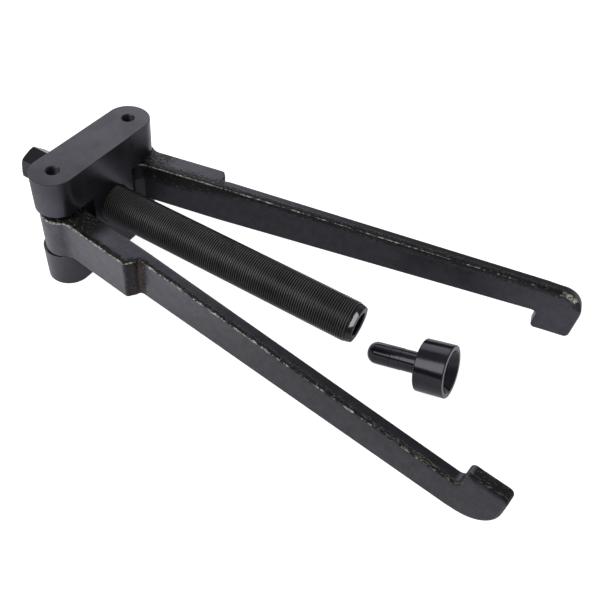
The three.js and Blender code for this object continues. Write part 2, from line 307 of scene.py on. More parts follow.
@dataclass(frozen=True)
class GroundFinish(BlackFinish):
    """The yoke's ground faces, with fine parallel marks across the block."""

    mark_pitch: float = 0.9 * MM
    mark_depth: float = 0.006 * MM
    mark_angle: float = math.radians(52)
    swell_waves: float = 60.0
    swell_depth: float = 0.05 * MM
    mottle_waves: float = 34.0
    mottling: float = 0.06

    def dress(self, board: ShaderBoard) -> None:
        """Adds a faint mottling to the black finish.

        Args:
            board: The material's board.
        """
        super().dress(board)
        patches = board.noise(self.mottle_waves, 7.0, rough=0.7)
        mottle = board.rescale(patches, 0.45, 0.55, 1.0 - self.mottling, 1.0 + self.mottling)
        board.feed(board.shader.inputs["Specular IOR Level"], board.times(mottle, self.gloss))

    def relief(self, board: ShaderBoard) -> list[tuple[Socket, float]]:
        """Parallel grinding marks over a faint swell.

        Args:
            board: The material's board.

        Returns:
            The heights and how deep each is.
        """
        along = board.stretched((1.0, 0.06, 0.3), (0.0, 0.0, self.mark_angle))
        marks = board.noise(1.0 / self.mark_pitch, 2.0, along)
        return [(marks, self.mark_depth), (board.noise(self.swell_waves, 2.0), self.swell_depth)]


@dataclass(frozen=True)
class TurnedFinish(BlackFinish):
    """A lathe-turned face with fine rings square to the piece's axis."""

    turn: Place = (0.0, 0.0, 0.0)
    ring_pitch: float = 0.35 * MM
    ring_depth: float = 0.004 * MM

    def relief(self, board: ShaderBoard) -> list[tuple[Socket, float]]:
        """Fine rings, as their height and how deep they are."""
        rings = board.noise(1.0 / self.ring_pitch, 1.0, board.stretched((1.0, 0.02, 0.02), self.turn))
        return [(rings, self.ring_depth)]


@dataclass(frozen=True)
class ThreadFinish(BlackFinish):
    """The forcing screw's thread, rubbed lighter along its crests, with a painted highlight that makes them
    lightest on the upper side, and a painted reflection beside the nose.
    """

    # Crest colour: rubbed metal, brightened further as a painted highlight.
    rubbed_and_highlight: Colour = (0.26, 0.255, 0.225)
    rubbed_metal: float = 0.25
    rubbed_roughness: float = 0.42
    crest_rub_and_highlight: float = 0.68
    patch_waves: float = 26.0
    least_patch: float = 0.45
    # The colour of a painted reflection of the key lamp on the nose's chamfer.
    painted_reflection: Colour = (0.66, 0.66, 0.69)
    axis_height: float = AXIS_HEIGHT
    # Painted highlight: the side that the crests lighten most towards, and over what distance from the
    # axis.
    highlight_side: Pair = (-0.50, 0.866)
    highlight_range: Pair = (6.0 * MM, 17.0 * MM)
    least_highlight: float = 0.22
    nose: Pair = (270.6 * MM, 274.3 * MM)
    reflection_side: Pair = (-0.55, 0.83)
    reflection_range: Pair = (14.9 * MM, 15.5 * MM)
    nose_waves: float = 350.0
    nose_ragged: float = 1.5 * MM
    nose_fade: float = 0.4 * MM

    def outwards(self, board: ShaderBoard, side: Pair) -> Socket:
        """How far a point lies from the screw's axis towards one side.

        Args:
            board: The material's board.
            side: The side's direction, as its parts along Y and Z.

        Returns:
            The distance.
        """
        place = board.axes(board.place)
        height = board.minus(place[2], self.axis_height)
        return board.plus(board.times(place[1], side[0]), board.times(height, side[1]))

    def dress(self, board: ShaderBoard) -> None:
        """Adds the crests, lighter from rubbing and from a painted highlight on their upper side, and the
        painted reflection beside the nose to the black finish.

        Args:
            board: The material's board.
        """
        super().dress(board)
        patchy = board.rescale(board.noise(self.patch_waves, 4.0), 0.25, 0.75, self.least_patch, 1.0)
        # Painted highlight: the crests are lightest on the upper side towards the key lamp and faint
        # underneath.
        upper = board.rescale(self.outwards(board, self.highlight_side), *self.highlight_range, self.least_highlight, 1.0)
        crest = board.rescale(board.attribute("crest"), 0.25, 1.0)
        rub_and_highlight = board.times(board.times(crest, board.times(patchy, upper)), self.crest_rub_and_highlight)

        # Painted reflection of the key lamp: a light patch on the nose's chamfer, on the side towards the
        # lamp.
        along = board.axes(board.place)[0]
        start, end = self.nose
        ragged_start = board.plus(start, board.times(board.noise(self.nose_waves), self.nose_ragged))
        reflection_span = board.times(board.math("GREATER_THAN", along, ragged_start),
                            board.rescale(along, end, end + self.nose_fade, 1.0, 0.0))
        reflection_patch = board.times(board.rescale(self.outwards(board, self.reflection_side), *self.reflection_range), reflection_span)
        tone = board.mixed(rub_and_highlight, self.black, self.rubbed_and_highlight)
        board.feed(board.shader.inputs["Base Color"], board.mixed(reflection_patch, tone, self.painted_reflection))
        board.feed(board.shader.inputs["Metallic"], board.times(rub_and_highlight, self.rubbed_metal))
        sheen = board.rescale(rub_and_highlight, 0.0, 0.6, self.roughness, self.rubbed_roughness)
        board.feed(board.shader.inputs["Roughness"], sheen)


@dataclass(frozen=True)
class PlateFinish(BlackFinish):
    """An arm's finish: mottled satin black, burnt rough beside one ragged edge that is worn bare, with
    painted shade near the pivot, by the root and round the step's foot.
    """

    turn: float = 0.0
    rust: Colour = (0.060, 0.033, 0.018)
    rust_share: float = 0.6
    # The colour of soot, also used for the painted shade that the arm's soot value carries.
    soot: Colour = (0.0070, 0.0066, 0.0060)
    soot_roughness: float = 0.5
    soot_gloss: float = 0.28
    soot_ragged: float = 1.6
    mottle_waves: float = 130.0
    mottle_light: float = 1.5
    mottling: float = 0.12
    dimple_waves: float = 430.0
    dimple_range: Pair = (0.56, 0.64)
    pitting: float = 0.40
    pit_waves: float = 420.0
    crumb: Colour = (0.150, 0.142, 0.110)
    crumb_waves: float = 640.0
    crumb_stretch: Place = (0.4, 1.0, 1.0)
    crumb_range: Pair = (0.59, 0.65)
    crumb_crowding: float = 0.07
    raggedness: float = 1.8
    ragged_waves: float = 240.0
    broad_waves: float = 70.0
    broad_share: float = 0.5
    line_range: Pair = (0.60, 0.72)
    bright_line: float = 1.0
    bright_shares: Pair = (0.3, 1.9)
    scuff_ragged: float = 2.4
    scuff_range: Pair = (0.42, 0.62)
    swell_waves: float = 70.0
    swell_depth: float = 0.08 * MM
    grit_waves: float = 260.0
    grit_depth: float = 0.06 * MM
    pit_depth: float = 0.40 * MM
    rolled_waves: Place = (45.0, 520.0, 520.0)
    rolled_depth: float = 0.03 * MM

    def dress(self, board: ShaderBoard) -> None:
        """Mixes the faces by the values that the arm's mesh carries, whose soot value also holds painted
        shade.

        Args:
            board: The material's board.
        """
        # The soot value holds real soot and painted shade near the pivot, the root and the step's foot.
        soot = board.attribute("soot")
        pitted = board.noise(self.pit_waves, 6.0, rough=0.7)
        patchy = board.plus(soot, board.times(board.minus(pitted, 0.5), self.soot_ragged))
        burnt = board.times(board.rescale(patchy, 0.35, 0.65), board.rescale(soot, 0.0, 0.15))
        mottle = board.rescale(board.noise(self.mottle_waves, 5.0, rough=0.65), 0.3, 0.7, -1.0, 1.0)
        specks, worn = self.wear(board, soot)

        light = scaled(self.black, self.mottle_light)
        tone = board.mixed(board.rescale(mottle, -1.0, 1.0), self.black, light)
        tone = board.mixed(burnt, tone, self.soot)
        rusty = board.times(board.attribute("stain"), board.rescale(pitted, 0.32, 0.60))
        tone = board.mixed(board.times(rusty, self.rust_share), tone, self.rust)
        tone = board.mixed(specks, tone, self.crumb)
        dim, clear = (scaled(self.bare, share * self.bright_line) for share in self.bright_shares)
        bright = board.mixed(board.rescale(pitted, 0.40, 0.62), dim, clear)
        board.feed(board.shader.inputs["Base Color"], board.mixed(worn, tone, bright))

        rough = board.mixed(board.math("MAXIMUM", burnt, board.math("MAXIMUM", specks, worn)),
                            (self.roughness,) * 3, (self.soot_roughness,) * 3)
        board.feed(board.shader.inputs["Roughness"], rough)
        self.sheen_of(board, burnt, mottle)

        deep = board.times(pitted, board.plus(board.times(burnt, 0.9), 0.1))
        rolled = board.noise(1.0, 3.0, board.stretched(self.rolled_waves, (0.0, 0.0, self.turn)))
        board.bump([(board.noise(self.swell_waves), self.swell_depth),
                    (board.noise(self.grit_waves, 4.0), self.grit_depth),
                    (deep, self.pit_depth), (rolled, self.rolled_depth)])

    def sheen_of(self, board: ShaderBoard, burnt: Socket, mottle: Socket) -> None:
        """Lets the faces shine unevenly, more in the satin patches and less in pits, soot and painted
        shade.

        Args:
            board: The material's board.
            burnt: How far a point is covered by soot, painted shade included.
            mottle: The faces' mottling, from -1 to 1.
        """
        satin = board.attribute("satin")
        pits = board.rescale(board.noise(self.dimple_waves, 5.0, rough=0.75), *self.dimple_range)
        pits = board.times(pits, board.plus(self.pitting, satin))
        dull = board.minus(board.times(mottle, self.mottling), pits)
        gloss = board.times(board.plus(dull, board.plus(1.0, satin)), self.gloss)
        gloss = board.mixed(burnt, gloss, (self.soot_gloss,) * 3)
        board.feed(board.shader.inputs["Specular IOR Level"], gloss)

    def wear(self, board: ShaderBoard, soot: Socket) -> tuple[Socket, Socket]:
        """Finds the crumbs of scale in the soot, and the ragged edge and scuffs that are bare.

        Args:
            board: The material's board.
            soot: How sooty a point is, painted shade included.

        Returns:
            The shares of crumbs and of bare metal.
        """
        along = board.stretched(self.crumb_stretch, (0.0, 0.0, self.turn))
        crumbs = board.noise(self.crumb_waves, 5.0, along, 0.8)
        dense = board.plus(crumbs, board.times(board.attribute("speck"), self.crumb_crowding))
        specks = board.times(board.rescale(dense, *self.crumb_range), board.rescale(soot, 0.1, 0.6))

        burr = board.attribute("burr")
        ragged = board.minus(board.noise(self.ragged_waves, 6.0, rough=0.8), 0.5)
        broad = board.minus(board.noise(self.broad_waves, 2.0), 0.5)
        uneven = board.plus(ragged, board.times(broad, self.broad_share))
        line = board.rescale(board.plus(burr, board.times(uneven, self.raggedness)), *self.line_range)
        line = board.times(line, board.rescale(burr, 0.02, 0.2))
        scuff = board.plus(board.attribute("scuff"), board.times(ragged, self.scuff_ragged))
        return specks, board.math("MAXIMUM", line, board.rescale(scuff, *self.scuff_range))


def mesh_object(name: str, points: np.ndarray, faces: Sequence[Sequence[int]]) -> bpy.types.Object:
    """Makes a mesh object from points and faces.

    Args:
        name: The object's name.
        points: Corner places, one row each.
        faces: Corner numbers of each face.

    Returns:
        The object, in the scene.
    """
    mesh = bpy.data.meshes.new(name)
    mesh.from_pydata([tuple(p) for p in points], [], [list(f) for f in faces])
    mesh.update()
    thing = bpy.data.objects.new(name, mesh)
    bpy.context.scene.collection.objects.link(thing)
    return thing


def drop(thing: bpy.types.Object) -> None:
    """Removes an object and its mesh.

    Args:
        thing: The object.
    """
    mesh = thing.data
    bpy.data.objects.remove(thing)
    if isinstance(mesh, bpy.types.Mesh) and mesh.users == 0:
        bpy.data.meshes.remove(mesh)


def settle(thing: bpy.types.Object) -> None:
    """Turns an object's evaluated form into its own plain mesh and removes its modifiers.

    Args:
        thing: The object.
    """
    graph = bpy.context.evaluated_depsgraph_get()
    graph.update()
    made = bpy.data.meshes.new_from_object(thing.evaluated_get(graph), depsgraph=graph)
    thing.modifiers.clear()
    old, thing.data = thing.data, made
    made.name = thing.name
    bpy.data.meshes.remove(old)


def weld(thing: bpy.types.Object, reach: float = 0.002 * MM) -> None:
    """Merges doubled corners and turns every face outwards.

    Args:
        thing: The object.
        reach: How near two corners are to be one.
    """
    shape = bmesh.new()
    shape.from_mesh(thing.data)
    bmesh.ops.remove_doubles(shape, verts=shape.verts, dist=reach)
    bmesh.ops.dissolve_degenerate(shape, edges=shape.edges, dist=reach)
    bmesh.ops.recalc_face_normals(shape, faces=shape.faces)
    shape.to_mesh(thing.data)
    shape.free()


def shade(thing: bpy.types.Object, limit: float = 32.0) -> None:
    """Shades a mesh smooth between sharp edges, with its large faces kept flat beside their roundings.

    Args:
        thing: The mesh.
        limit: Edges that turn more than this many degrees are sharp.
    """
    thing.data.shade_smooth()
    thing.data.set_sharp_from_angle(angle=math.radians(limit))
    flat = thing.modifiers.new("flat", "WEIGHTED_NORMAL")
    flat.mode = "FACE_AREA_WITH_ANGLE"
    flat.weight = 100
    flat.keep_sharp = True
    settle(thing)


class Join(Enum):
    """How one solid changes another."""

    CUT = "DIFFERENCE"
    ADD = "UNION"
    KEEP = "INTERSECT"


def combine(thing: bpy.types.Object, tool: bpy.types.Object, how: Join) -> None:
    """Joins, cuts or crosses a solid with another, which is used up.

    Args:
        thing: The solid that changes.
        tool: The other solid.
        how: What is done.
    """
    change = thing.modifiers.new("combine", "BOOLEAN")
    change.operation = how.value
    change.solver = "EXACT"
    change.object = tool
    settle(thing)
    drop(tool)


def soften(thing: bpy.types.Object, width: float, limit: float = 40.0, segments: int = 3) -> None:
    """Rounds a solid's sharp edges.

    Args:
        thing: The solid.
        width: The rounding's width.
        limit: Edges that turn less than this many degrees stay.
        segments: Steps of the rounding.
    """
    bevel = thing.modifiers.new("soften", "BEVEL")
    bevel.limit_method = "ANGLE"
    bevel.angle_limit = math.radians(limit)
    bevel.width = width
    bevel.segments = segments
    bevel.use_clamp_overlap = True
    bevel.miter_outer = "MITER_ARC"
    settle(thing)


def band(start: int, count: int) -> list[list[int]]:
    """Faces between two rings of corners.

    Args:
        start: Number of the first ring's first corner.
        count: Corners of each ring.

    Returns:
        The faces.
    """
    return [[start + i, start + (i + 1) % count, start + count + (i + 1) % count, start + count + i]
            for i in range(count)]


def turned(name: str, profile: Line, segments: int = 96) -> bpy.types.Object:
    """A body turned about the X axis.

    Args:
        name: The object's name.
        profile: Pairs of radius and x, from the back of the axis to the front of it.
        segments: Facets of a full turn.

    Returns:
        The solid.
    """
    angles = np.linspace(0.0, 2.0 * math.pi, segments, endpoint=False)
    points: list[Place] = []
    rings: list[list[int]] = []
    for radius, x in profile:
        start = len(points)
        if radius <= 0.0:
            points.append((x, 0.0, 0.0))
            rings.append([start] * segments)
            continue
        points.extend((x, radius * math.cos(a), radius * math.sin(a)) for a in angles)
        rings.append(list(range(start, start + segments)))
    faces: list[list[int]] = []
    for back, front in zip(rings, rings[1:]):
        for i in range(segments):
            j = (i + 1) % segments
            corners = [back[i], back[j], front[j], front[i]]
            corners = [c for k, c in enumerate(corners) if c not in corners[:k]]
            if len(corners) > 2:
                faces.append(corners)
    thing = mesh_object(name, np.array(points), faces)
    weld(thing)
    return thing


def arc(centre: Pair, radius: float, start: float, end: float, steps: int) -> Line:
    """Points of an arc, both ends included.

    Args:
        centre: Its middle.
        radius: Its radius.
        start: First angle in degrees.
        end: Last angle in degrees.
        steps: Steps between them.

    Returns:
        The points.
    """
    angles = np.radians(np.linspace(start, end, steps + 1))
    return [(centre[0] + radius * math.cos(a), centre[1] + radius * math.sin(a)) for a in angles]


def prism(name: str, outline: Line, low: float, high: float) -> bpy.types.Object:
    """An outline in the XY plane, raised from one height to another.

    Args:
        name: The object's name.
        outline: Points anticlockwise, the first not repeated.
        low: Lower height.
        high: Upper height.

    Returns:
        The solid.
    """
    count = len(outline)
    points = [(x, y, low) for x, y in outline] + [(x, y, high) for x, y in outline]
    sides = [[i, (i + 1) % count, count + (i + 1) % count, count + i] for i in range(count)]
    ends = [list(range(count))[::-1], list(range(count, 2 * count))]
    thing = mesh_object(name, np.array(points), sides + ends)
    weld(thing)
    return thing


def box(name: str, low: Sequence[float], high: Sequence[float]) -> bpy.types.Object:
    """A block given by its lowest and highest corners."""
    outline = [(low[0], low[1]), (high[0], low[1]), (high[0], high[1]), (low[0], high[1])]
    return prism(name, outline, low[2], high[2])


def hexagon(flats: float, turn: float = 0.0) -> Line:
    """A regular hexagon across its flats, with its first corner at an angle in degrees."""
    return arc((0.0, 0.0), flats / 2 / math.cos(math.pi / 6), turn, turn + 300.0, 5)


def painted(thing: bpy.types.Object, name: str, values: np.ndarray) -> None:
    """Stores one value for each corner of a mesh under a name that its material reads."""
    thing.data.attributes.new(name, "FLOAT", "POINT").data.foreach_set("value", values.astype(np.float32))


def corners_of(thing: bpy.types.Object) -> np.ndarray:
    """Reads the corner places of a mesh.

    Args:
        thing: The mesh.

    Returns:
        The places, one row each.
    """
    places = np.zeros(len(thing.data.vertices) * 3, np.float32)
    thing.data.vertices.foreach_get("co", places)
    return places.reshape(-1, 3).astype(float)


def set_corners(thing: bpy.types.Object, places: np.ndarray) -> None:
    """Moves the corners of a mesh to new places."""
    thing.data.vertices.foreach_set("co", places.astype(np.float32).ravel())
    thing.data.update()


def smooth_noise(place: Sequence[float], waves: float, seed: float = 0.0) -> float:
    """Perlin noise about 0, at so many waves a metre, shifted by a seed."""
    return noise.noise(Vector(place) * waves + Vector((seed, 2.0 * seed, 3.0 * seed)))


@dataclass
class Helix:
    """A screw thread made by Geometry Nodes, along X about the X axis.

    The surface is a sheet of rows that follow the helix. Rows past either end fold into the end's
    ring, so the ends close on whatever turned profile comes next.
    """

    NUMBERS: ClassVar[tuple[str, ...]] = (
        "Crest", "Root", "Pitch", "Start", "End", "Start Radius", "End Radius", "Start Slope", "End Slope",
        "Flat")

    name: str
    crest: float
    root: float
    pitch: float
    start: float
    end: float
    start_radius: float
    end_radius: float
    start_slope: float
    end_slope: float
    segments: int = 96
    inside: bool = False
    flat: float = 0.14

    def tree(self) -> bpy.types.GeometryNodeTree:
        """Builds the node tree.

        Returns:
            The tree, with its sizes as named inputs.
        """
        tree = bpy.data.node_groups.new(f"{self.name}_thread", "GeometryNodeTree")
        face = tree.interface
        face.new_socket("Geometry", in_out="OUTPUT", socket_type="NodeSocketGeometry")
        for label in self.NUMBERS:
            face.new_socket(label, in_out="INPUT", socket_type="NodeSocketFloat")
        for label in ("Segments", "Turns"):
            face.new_socket(label, in_out="INPUT", socket_type="NodeSocketInt")
        face.new_socket("Material", in_out="INPUT", socket_type="NodeSocketMaterial")

        board = NodeBoard(tree)
        given = board.add("NodeGroupInput").outputs
        rows = board.times(given["Turns"], 4.0)
        sheet = board.add("GeometryNodeMeshGrid", {
            "Size X": rows,
            "Size Y": given["Segments"],
            "Vertices X": board.plus(rows, 1.0),
            "Vertices Y": board.plus(given["Segments"], 1.0),
        })
        spot = board.axes(board.add("GeometryNodeInputPosition").outputs[0])
        row = board.math("ROUND", board.plus(spot[0], board.times(rows, 0.5)))
        column = board.plus(spot[1], board.times(given["Segments"], 0.5))
        turn = board.math("DIVIDE", column, given["Segments"])
        angle = board.times(turn, 2.0 * math.pi)
        x, upper = self.travel(board, given, row, turn)
        depth = board.minus(given["Crest"], given["Root"])
        cut = board.minus(given["Crest"], board.times(upper, depth))
        from_start = board.times(board.minus(x, given["Start"]), given["Start Slope"])
        from_end = board.times(board.minus(given["End"], x), given["End Slope"])
        bound = "MAXIMUM" if self.inside else "MINIMUM"
        ends = board.math(bound, board.plus(given["Start Radius"], from_start),
                          board.plus(given["End Radius"], from_end))
        radius = board.math(bound, cut, ends)
        place = board.add("ShaderNodeCombineXYZ", {
            0: x,
            1: board.times(radius, board.math("COSINE", angle)),
            2: board.times(radius, board.math("SINE", angle)),
        }).outputs[0]
        rise = board.math("DIVIDE", board.minus(radius, given["Root"]), depth)
        last = board.add("GeometryNodeStoreNamedAttribute", {
            "Geometry": sheet.outputs["Mesh"], "Name": "crest", "Value": rise,
        }, data_type="FLOAT", domain="POINT").outputs[0]
        for kind, inputs in (
            ("GeometryNodeSetPosition", {"Position": place}),
            ("GeometryNodeMergeByDistance", {"Distance": 0.004 * MM}),
            ("GeometryNodeRealizeInstances", {}),
            ("GeometryNodeSetMaterial", {"Material": given["Material"]}),
        ):
            last = board.add(kind, {"Geometry": last, **inputs}).outputs[0]
        board.add("NodeGroupOutput", {0: last})
        return tree

    def travel(
        self, board: NodeBoard, given: bpy.types.bpy_prop_collection, row: Socket, turn: Socket,
    ) -> tuple[Socket, Socket]:
        """Adds the nodes that lay the sheet's rows along the screw, four rows to a turn.

        Args:
            board: The tree's board.
            given: The tree's inputs.
            row: A point's row.
            turn: How far round the screw it is, from 0 to 1.

        Returns:
            The point's place along the screw, and 1 in the two rows that lie in the groove.
        """
        whole = board.math("FLOOR", board.math("DIVIDE", board.plus(row, 0.25), 4.0))
        quarter = board.minus(row, board.times(whole, 4.0))
        upper = board.math("GREATER_THAN", quarter, 1.5)
        odd = board.math("GREATER_THAN", board.math("MODULO", quarter, 2.0), 0.5)
        phase = board.plus(board.times(upper, 0.5), board.times(odd, given["Flat"]))
        turns = board.plus(board.plus(whole, turn), board.minus(phase, 1.0))
        raw = board.plus(given["Start"], board.times(turns, given["Pitch"]))
        return board.math("MAXIMUM", board.math("MINIMUM", raw, given["End"]), given["Start"]), upper

    def sheet(self, material: bpy.types.Material) -> bpy.types.Object:
        """Runs the tree and returns the open thread surface.

        Args:
            material: What the tree sets on it.

        Returns:
            The surface as a plain mesh object, open at both ends.
        """
        thing = mesh_object(self.name, np.zeros((0, 3)), [])
        change = thing.modifiers.new("thread", "NODES")
        tree = self.tree()
        change.node_group = tree
        values = {label: getattr(self, label.lower().replace(" ", "_")) for label in self.NUMBERS}
        values |= {"Segments": self.segments, "Material": material,
                   "Turns": math.ceil((self.end - self.start) / self.pitch) + 2}
        for item in tree.interface.items_tree:
            if item.in_out == "INPUT" and item.name in values:
                change[item.identifier] = values[item.name]
        settle(thing)
        return thing


def joined(name: str, parts: Sequence[bpy.types.Object]) -> bpy.types.Object:
    """Joins meshes into one, with the values that they carry, and merges their shared corners.

    Args:
        name: The new object's name.
        parts: The meshes, which are used up.

    Returns:
        The joined object.
    """
    points, faces, carried = [], [], {}
    total = sum(len(part.data.vertices) for part in parts)
    start = 0
    for part in parts:
        count = len(part.data.vertices)
        points.append(corners_of(part))
        faces += [[start + v for v in polygon.vertices] for polygon in part.data.polygons]
        for layer in part.data.attributes:
            if layer.data_type == "FLOAT" and layer.domain == "POINT":
                values = np.zeros(count, np.float32)
                layer.data.foreach_get("value", values)
                carried.setdefault(layer.name, np.zeros(total))[start:start + count] = values
        start += count
    for part in parts:
        drop(part)
    whole = mesh_object(name, np.concatenate(points), faces)
    for label, values in carried.items():
        painted(whole, label, values)
    weld(whole, 0.004 * MM)
    return whole


def hand_over(
    thing: bpy.types.Object, node: str, body: str, material: bpy.types.Material,
) -> None:
    """Dresses a finished piece, and puts it in a CAD node's place and on its body.

    Args:
        thing: The piece.
        node: The CAD node that it stands for.
        body: The body that it rides on.
        material: The finish.
    """
    thing.data.materials.clear()
    thing.data.materials.append(material)
    thing.data.polygons.foreach_set("material_index", [0] * len(thing.data.polygons))
    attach(thing, body)
    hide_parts(node)
    log.info("%s: %d faces, rides on %s", thing.name, len(thing.data.polygons), body)


@dataclass
class Yoke:
    """The machined block: two plates and a web, bored for the screw and the bolts."""

    pin_spacing: float = PIN_SPACING
    width: float = 40.0 * MM
    height: float = 116.0 * MM
    plate: float = 34.6 * MM
    web: float = 52.0 * MM
    edge: float = 0.4 * MM
    bore_radius: float = 18.2 * MM
    bore_edge: float = 0.6 * MM
    head_hole: Pair = (14.3 * MM, 13.3 * MM)
    shoulder_hole: float = 9.8 * MM
    tap_minor: float = 5.3 * MM
    tap_major: float = 6.1 * MM
    tap_pitch: float = 1.75 * MM
    tap_depth: float = 12.0 * MM
    mouth: float = 0.3 * MM
    arc_steps: int = 72
    hole_segments: int = 72

    def outline(self, inset: float) -> Line:
        """The stadium seen from above, drawn in.

        Args:
            inset: How far it is drawn in.

        Returns:
            Its points, anticlockwise.
        """
        radius = self.width / 2 - inset
        half = self.pin_spacing / 2
        return arc((0.0, half), radius, 0.0, 180.0, self.arc_steps) + arc(
            (0.0, -half), radius, 180.0, 360.0, self.arc_steps)

    def block(self) -> bpy.types.Object:
        """Makes the plain block with rounded upper and lower edges.

        Returns:
            The solid.
        """
        levels = [(self.edge * (1 - math.sin(a)), self.edge * (1 - math.cos(a)))
                  for a in np.radians(np.linspace(0.0, 90.0, 5))]
        rings = levels + [(inset, self.height - z) for inset, z in reversed(levels)]
        points = [(x, y, z) for inset, z in rings for x, y in self.outline(inset)]
        count = len(self.outline(0.0))
        faces = [list(range(count))[::-1], list(range(len(points) - count, len(points)))]
        for start in range(0, len(points) - count, count):
            faces += band(start, count)
        thing = mesh_object("yoke_body", np.array(points), faces)
        weld(thing)
        return thing

    def bolt_hole(self) -> bpy.types.Object:
        """Makes the cutter for one bolt: its counterbore, its bearing and its tapped hole.

        Returns:
            The cutter, standing on Z.
        """
        head_radius, head_depth = self.head_hole
        top = self.height - self.mouth
        profile = [
            (0.0, -5.0 * MM), (head_radius + 0.5 * MM, -5.0 * MM), (head_radius + 0.5 * MM, 0.0),
            (head_radius, 0.5 * MM), (head_radius, head_depth), (self.shoulder_hole, head_depth),
            (self.shoulder_hole, self.height - self.plate), (self.tap_major, self.height - self.plate),
            (self.tap_major, top - self.tap_depth), (self.tap_major, top),
            (self.tap_major + self.mouth, self.height),
            (self.tap_major + self.mouth, self.height + 5.0 * MM), (0.0, self.height + 5.0 * MM),
        ]
        cutter = turned("bolt_hole", profile, self.hole_segments)
        cutter.data.transform(UPRIGHT)
        return cutter

    def tap(self, material: bpy.types.Material) -> bpy.types.Object:
        """Makes the thread inside one tapped hole.

        Args:
            material: Its finish, built.

        Returns:
            The open surface, standing on Z.
        """
        top = self.height - self.mouth
        thread = Helix("tap", crest=self.tap_minor, root=self.tap_major, pitch=self.tap_pitch,
                       start=top - self.tap_depth, end=top, start_radius=self.tap_major,
                       end_radius=self.tap_major, start_slope=-1.0, end_slope=-1.0,
                       segments=self.hole_segments, inside=True)
        sheet = thread.sheet(material)
        sheet.data.transform(UPRIGHT)
        return sheet

    def open_taps(self, thing: bpy.types.Object) -> None:
        """Takes away the plain wall where a thread goes.

        Args:
            thing: The yoke.
        """
        low = self.height - self.mouth - self.tap_depth
        high = self.height - self.mouth
        shape = bmesh.new()
        shape.from_mesh(thing.data)
        walls = []
        for face in shape.faces:
            middle = face.calc_center_median()
            radius = math.hypot(middle.x, abs(middle.y) - self.pin_spacing / 2)
            if low < middle.z < high and radius < self.tap_major + 0.05 * MM:
                walls.append(face)
        bmesh.ops.delete(shape, geom=walls, context="FACES")
        shape.to_mesh(thing.data)
        shape.free()

    def build(self, finish: BlackFinish) -> bpy.types.Object:
        """Builds and dresses the yoke.

        Args:
            finish: Its surface.

        Returns:
            The finished piece.
        """
        material = finish.build()
        body = self.block()
        reach = self.pin_spacing / 2 + self.width
        for side in (-1, 1):
            low, high = sorted((side * self.web / 2, side * reach))
            combine(body, box("slot", (-self.width, low, self.plate),
                              (self.width, high, self.height - self.plate)), Join.CUT)
        face = self.width / 2
        flare = self.bore_radius + self.bore_edge + 5.0 * MM
        beyond = face + 5.0 * MM
        bore = turned("bore", [
            (0.0, -beyond), (flare, -beyond), (self.bore_radius, -face + self.bore_edge),
            (self.bore_radius, face - self.bore_edge), (flare, beyond), (0.0, beyond),
        ], 128)
        bore.data.transform(Matrix.Translation((0.0, 0.0, self.height / 2)))
        combine(body, bore, Join.CUT)
        for side in (-1, 1):
            hole = self.bolt_hole()
            hole.data.transform(Matrix.Translation((0.0, side * self.pin_spacing / 2, 0.0)))
            combine(body, hole, Join.CUT)
        self.open_taps(body)
        taps = []
        for side in (-1, 1):
            tap = self.tap(material)
            tap.data.transform(Matrix.Translation((0.0, side * self.pin_spacing / 2, 0.0)))
            taps.append(tap)
        yoke = joined("yoke_body", [body, *taps])
        shade(yoke)
        hand_over(yoke, "yoke", "root", material)
        return yoke


@dataclass
class PivotBolts:
    """The two shoulder bolts that stand in the yoke, heads down."""

    pin_spacing: float = PIN_SPACING
    head_radius: float = 14.0 * MM
    head_low: float = 1.0 * MM
    head_high: float = 13.0 * MM
    shoulder_radius: float = 9.5 * MM
    shoulder_end: float = 81.1 * MM
    thread_radius: float = 5.25 * MM
    end: float = 108.0 * MM
    edge: float = 0.8 * MM
    lip: float = 0.3 * MM
    shoulder_edge: float = 0.5 * MM
    key_flats: float = 12.0 * MM
    key_depth: float = 7.0 * MM

    def build(self, finish: BlackFinish) -> None:
        """Builds and dresses both bolts.

        Args:
            finish: Their surface.
        """
        material = finish.build()
        edge, lip, shoulder_edge = self.edge, self.lip, self.shoulder_edge
        for name, side in (("near", -1), ("far", 1)):
            rim = arc((self.head_radius - edge, self.head_low + edge), edge, -90.0, 0.0, 5)
            bolt = turned(f"{name}_bolt", [
                (0.0, self.head_low), *rim, (self.head_radius, self.head_high - lip),
                (self.head_radius - lip, self.head_high), (self.shoulder_radius, self.head_high),
                (self.shoulder_radius, self.shoulder_end - shoulder_edge),
                (self.shoulder_radius - shoulder_edge, self.shoulder_end),
                (self.thread_radius, self.shoulder_end), (self.thread_radius, self.end - edge),
                (self.thread_radius - edge, self.end), (0.0, self.end),
            ], 72)
            bolt.data.transform(UPRIGHT)
            socket = prism("socket", hexagon(self.key_flats), -5.0 * MM, self.head_low + self.key_depth)
            combine(bolt, socket, Join.CUT)
            mouth = self.key_flats / 2 / math.cos(math.pi / 6)
            level = self.head_low + 0.2 * MM
            lead = turned("lead", [(0.0, -mouth), (2 * mouth + level, -mouth), (0.0, mouth + level)], 72)
            lead.data.transform(UPRIGHT)
            combine(bolt, lead, Join.CUT)
            bolt.data.transform(Matrix.Translation((0.0, side * self.pin_spacing / 2, 0.0)))
            shade(bolt)
            hand_over(bolt, f"{name}_pivot_bolt", "root", material)


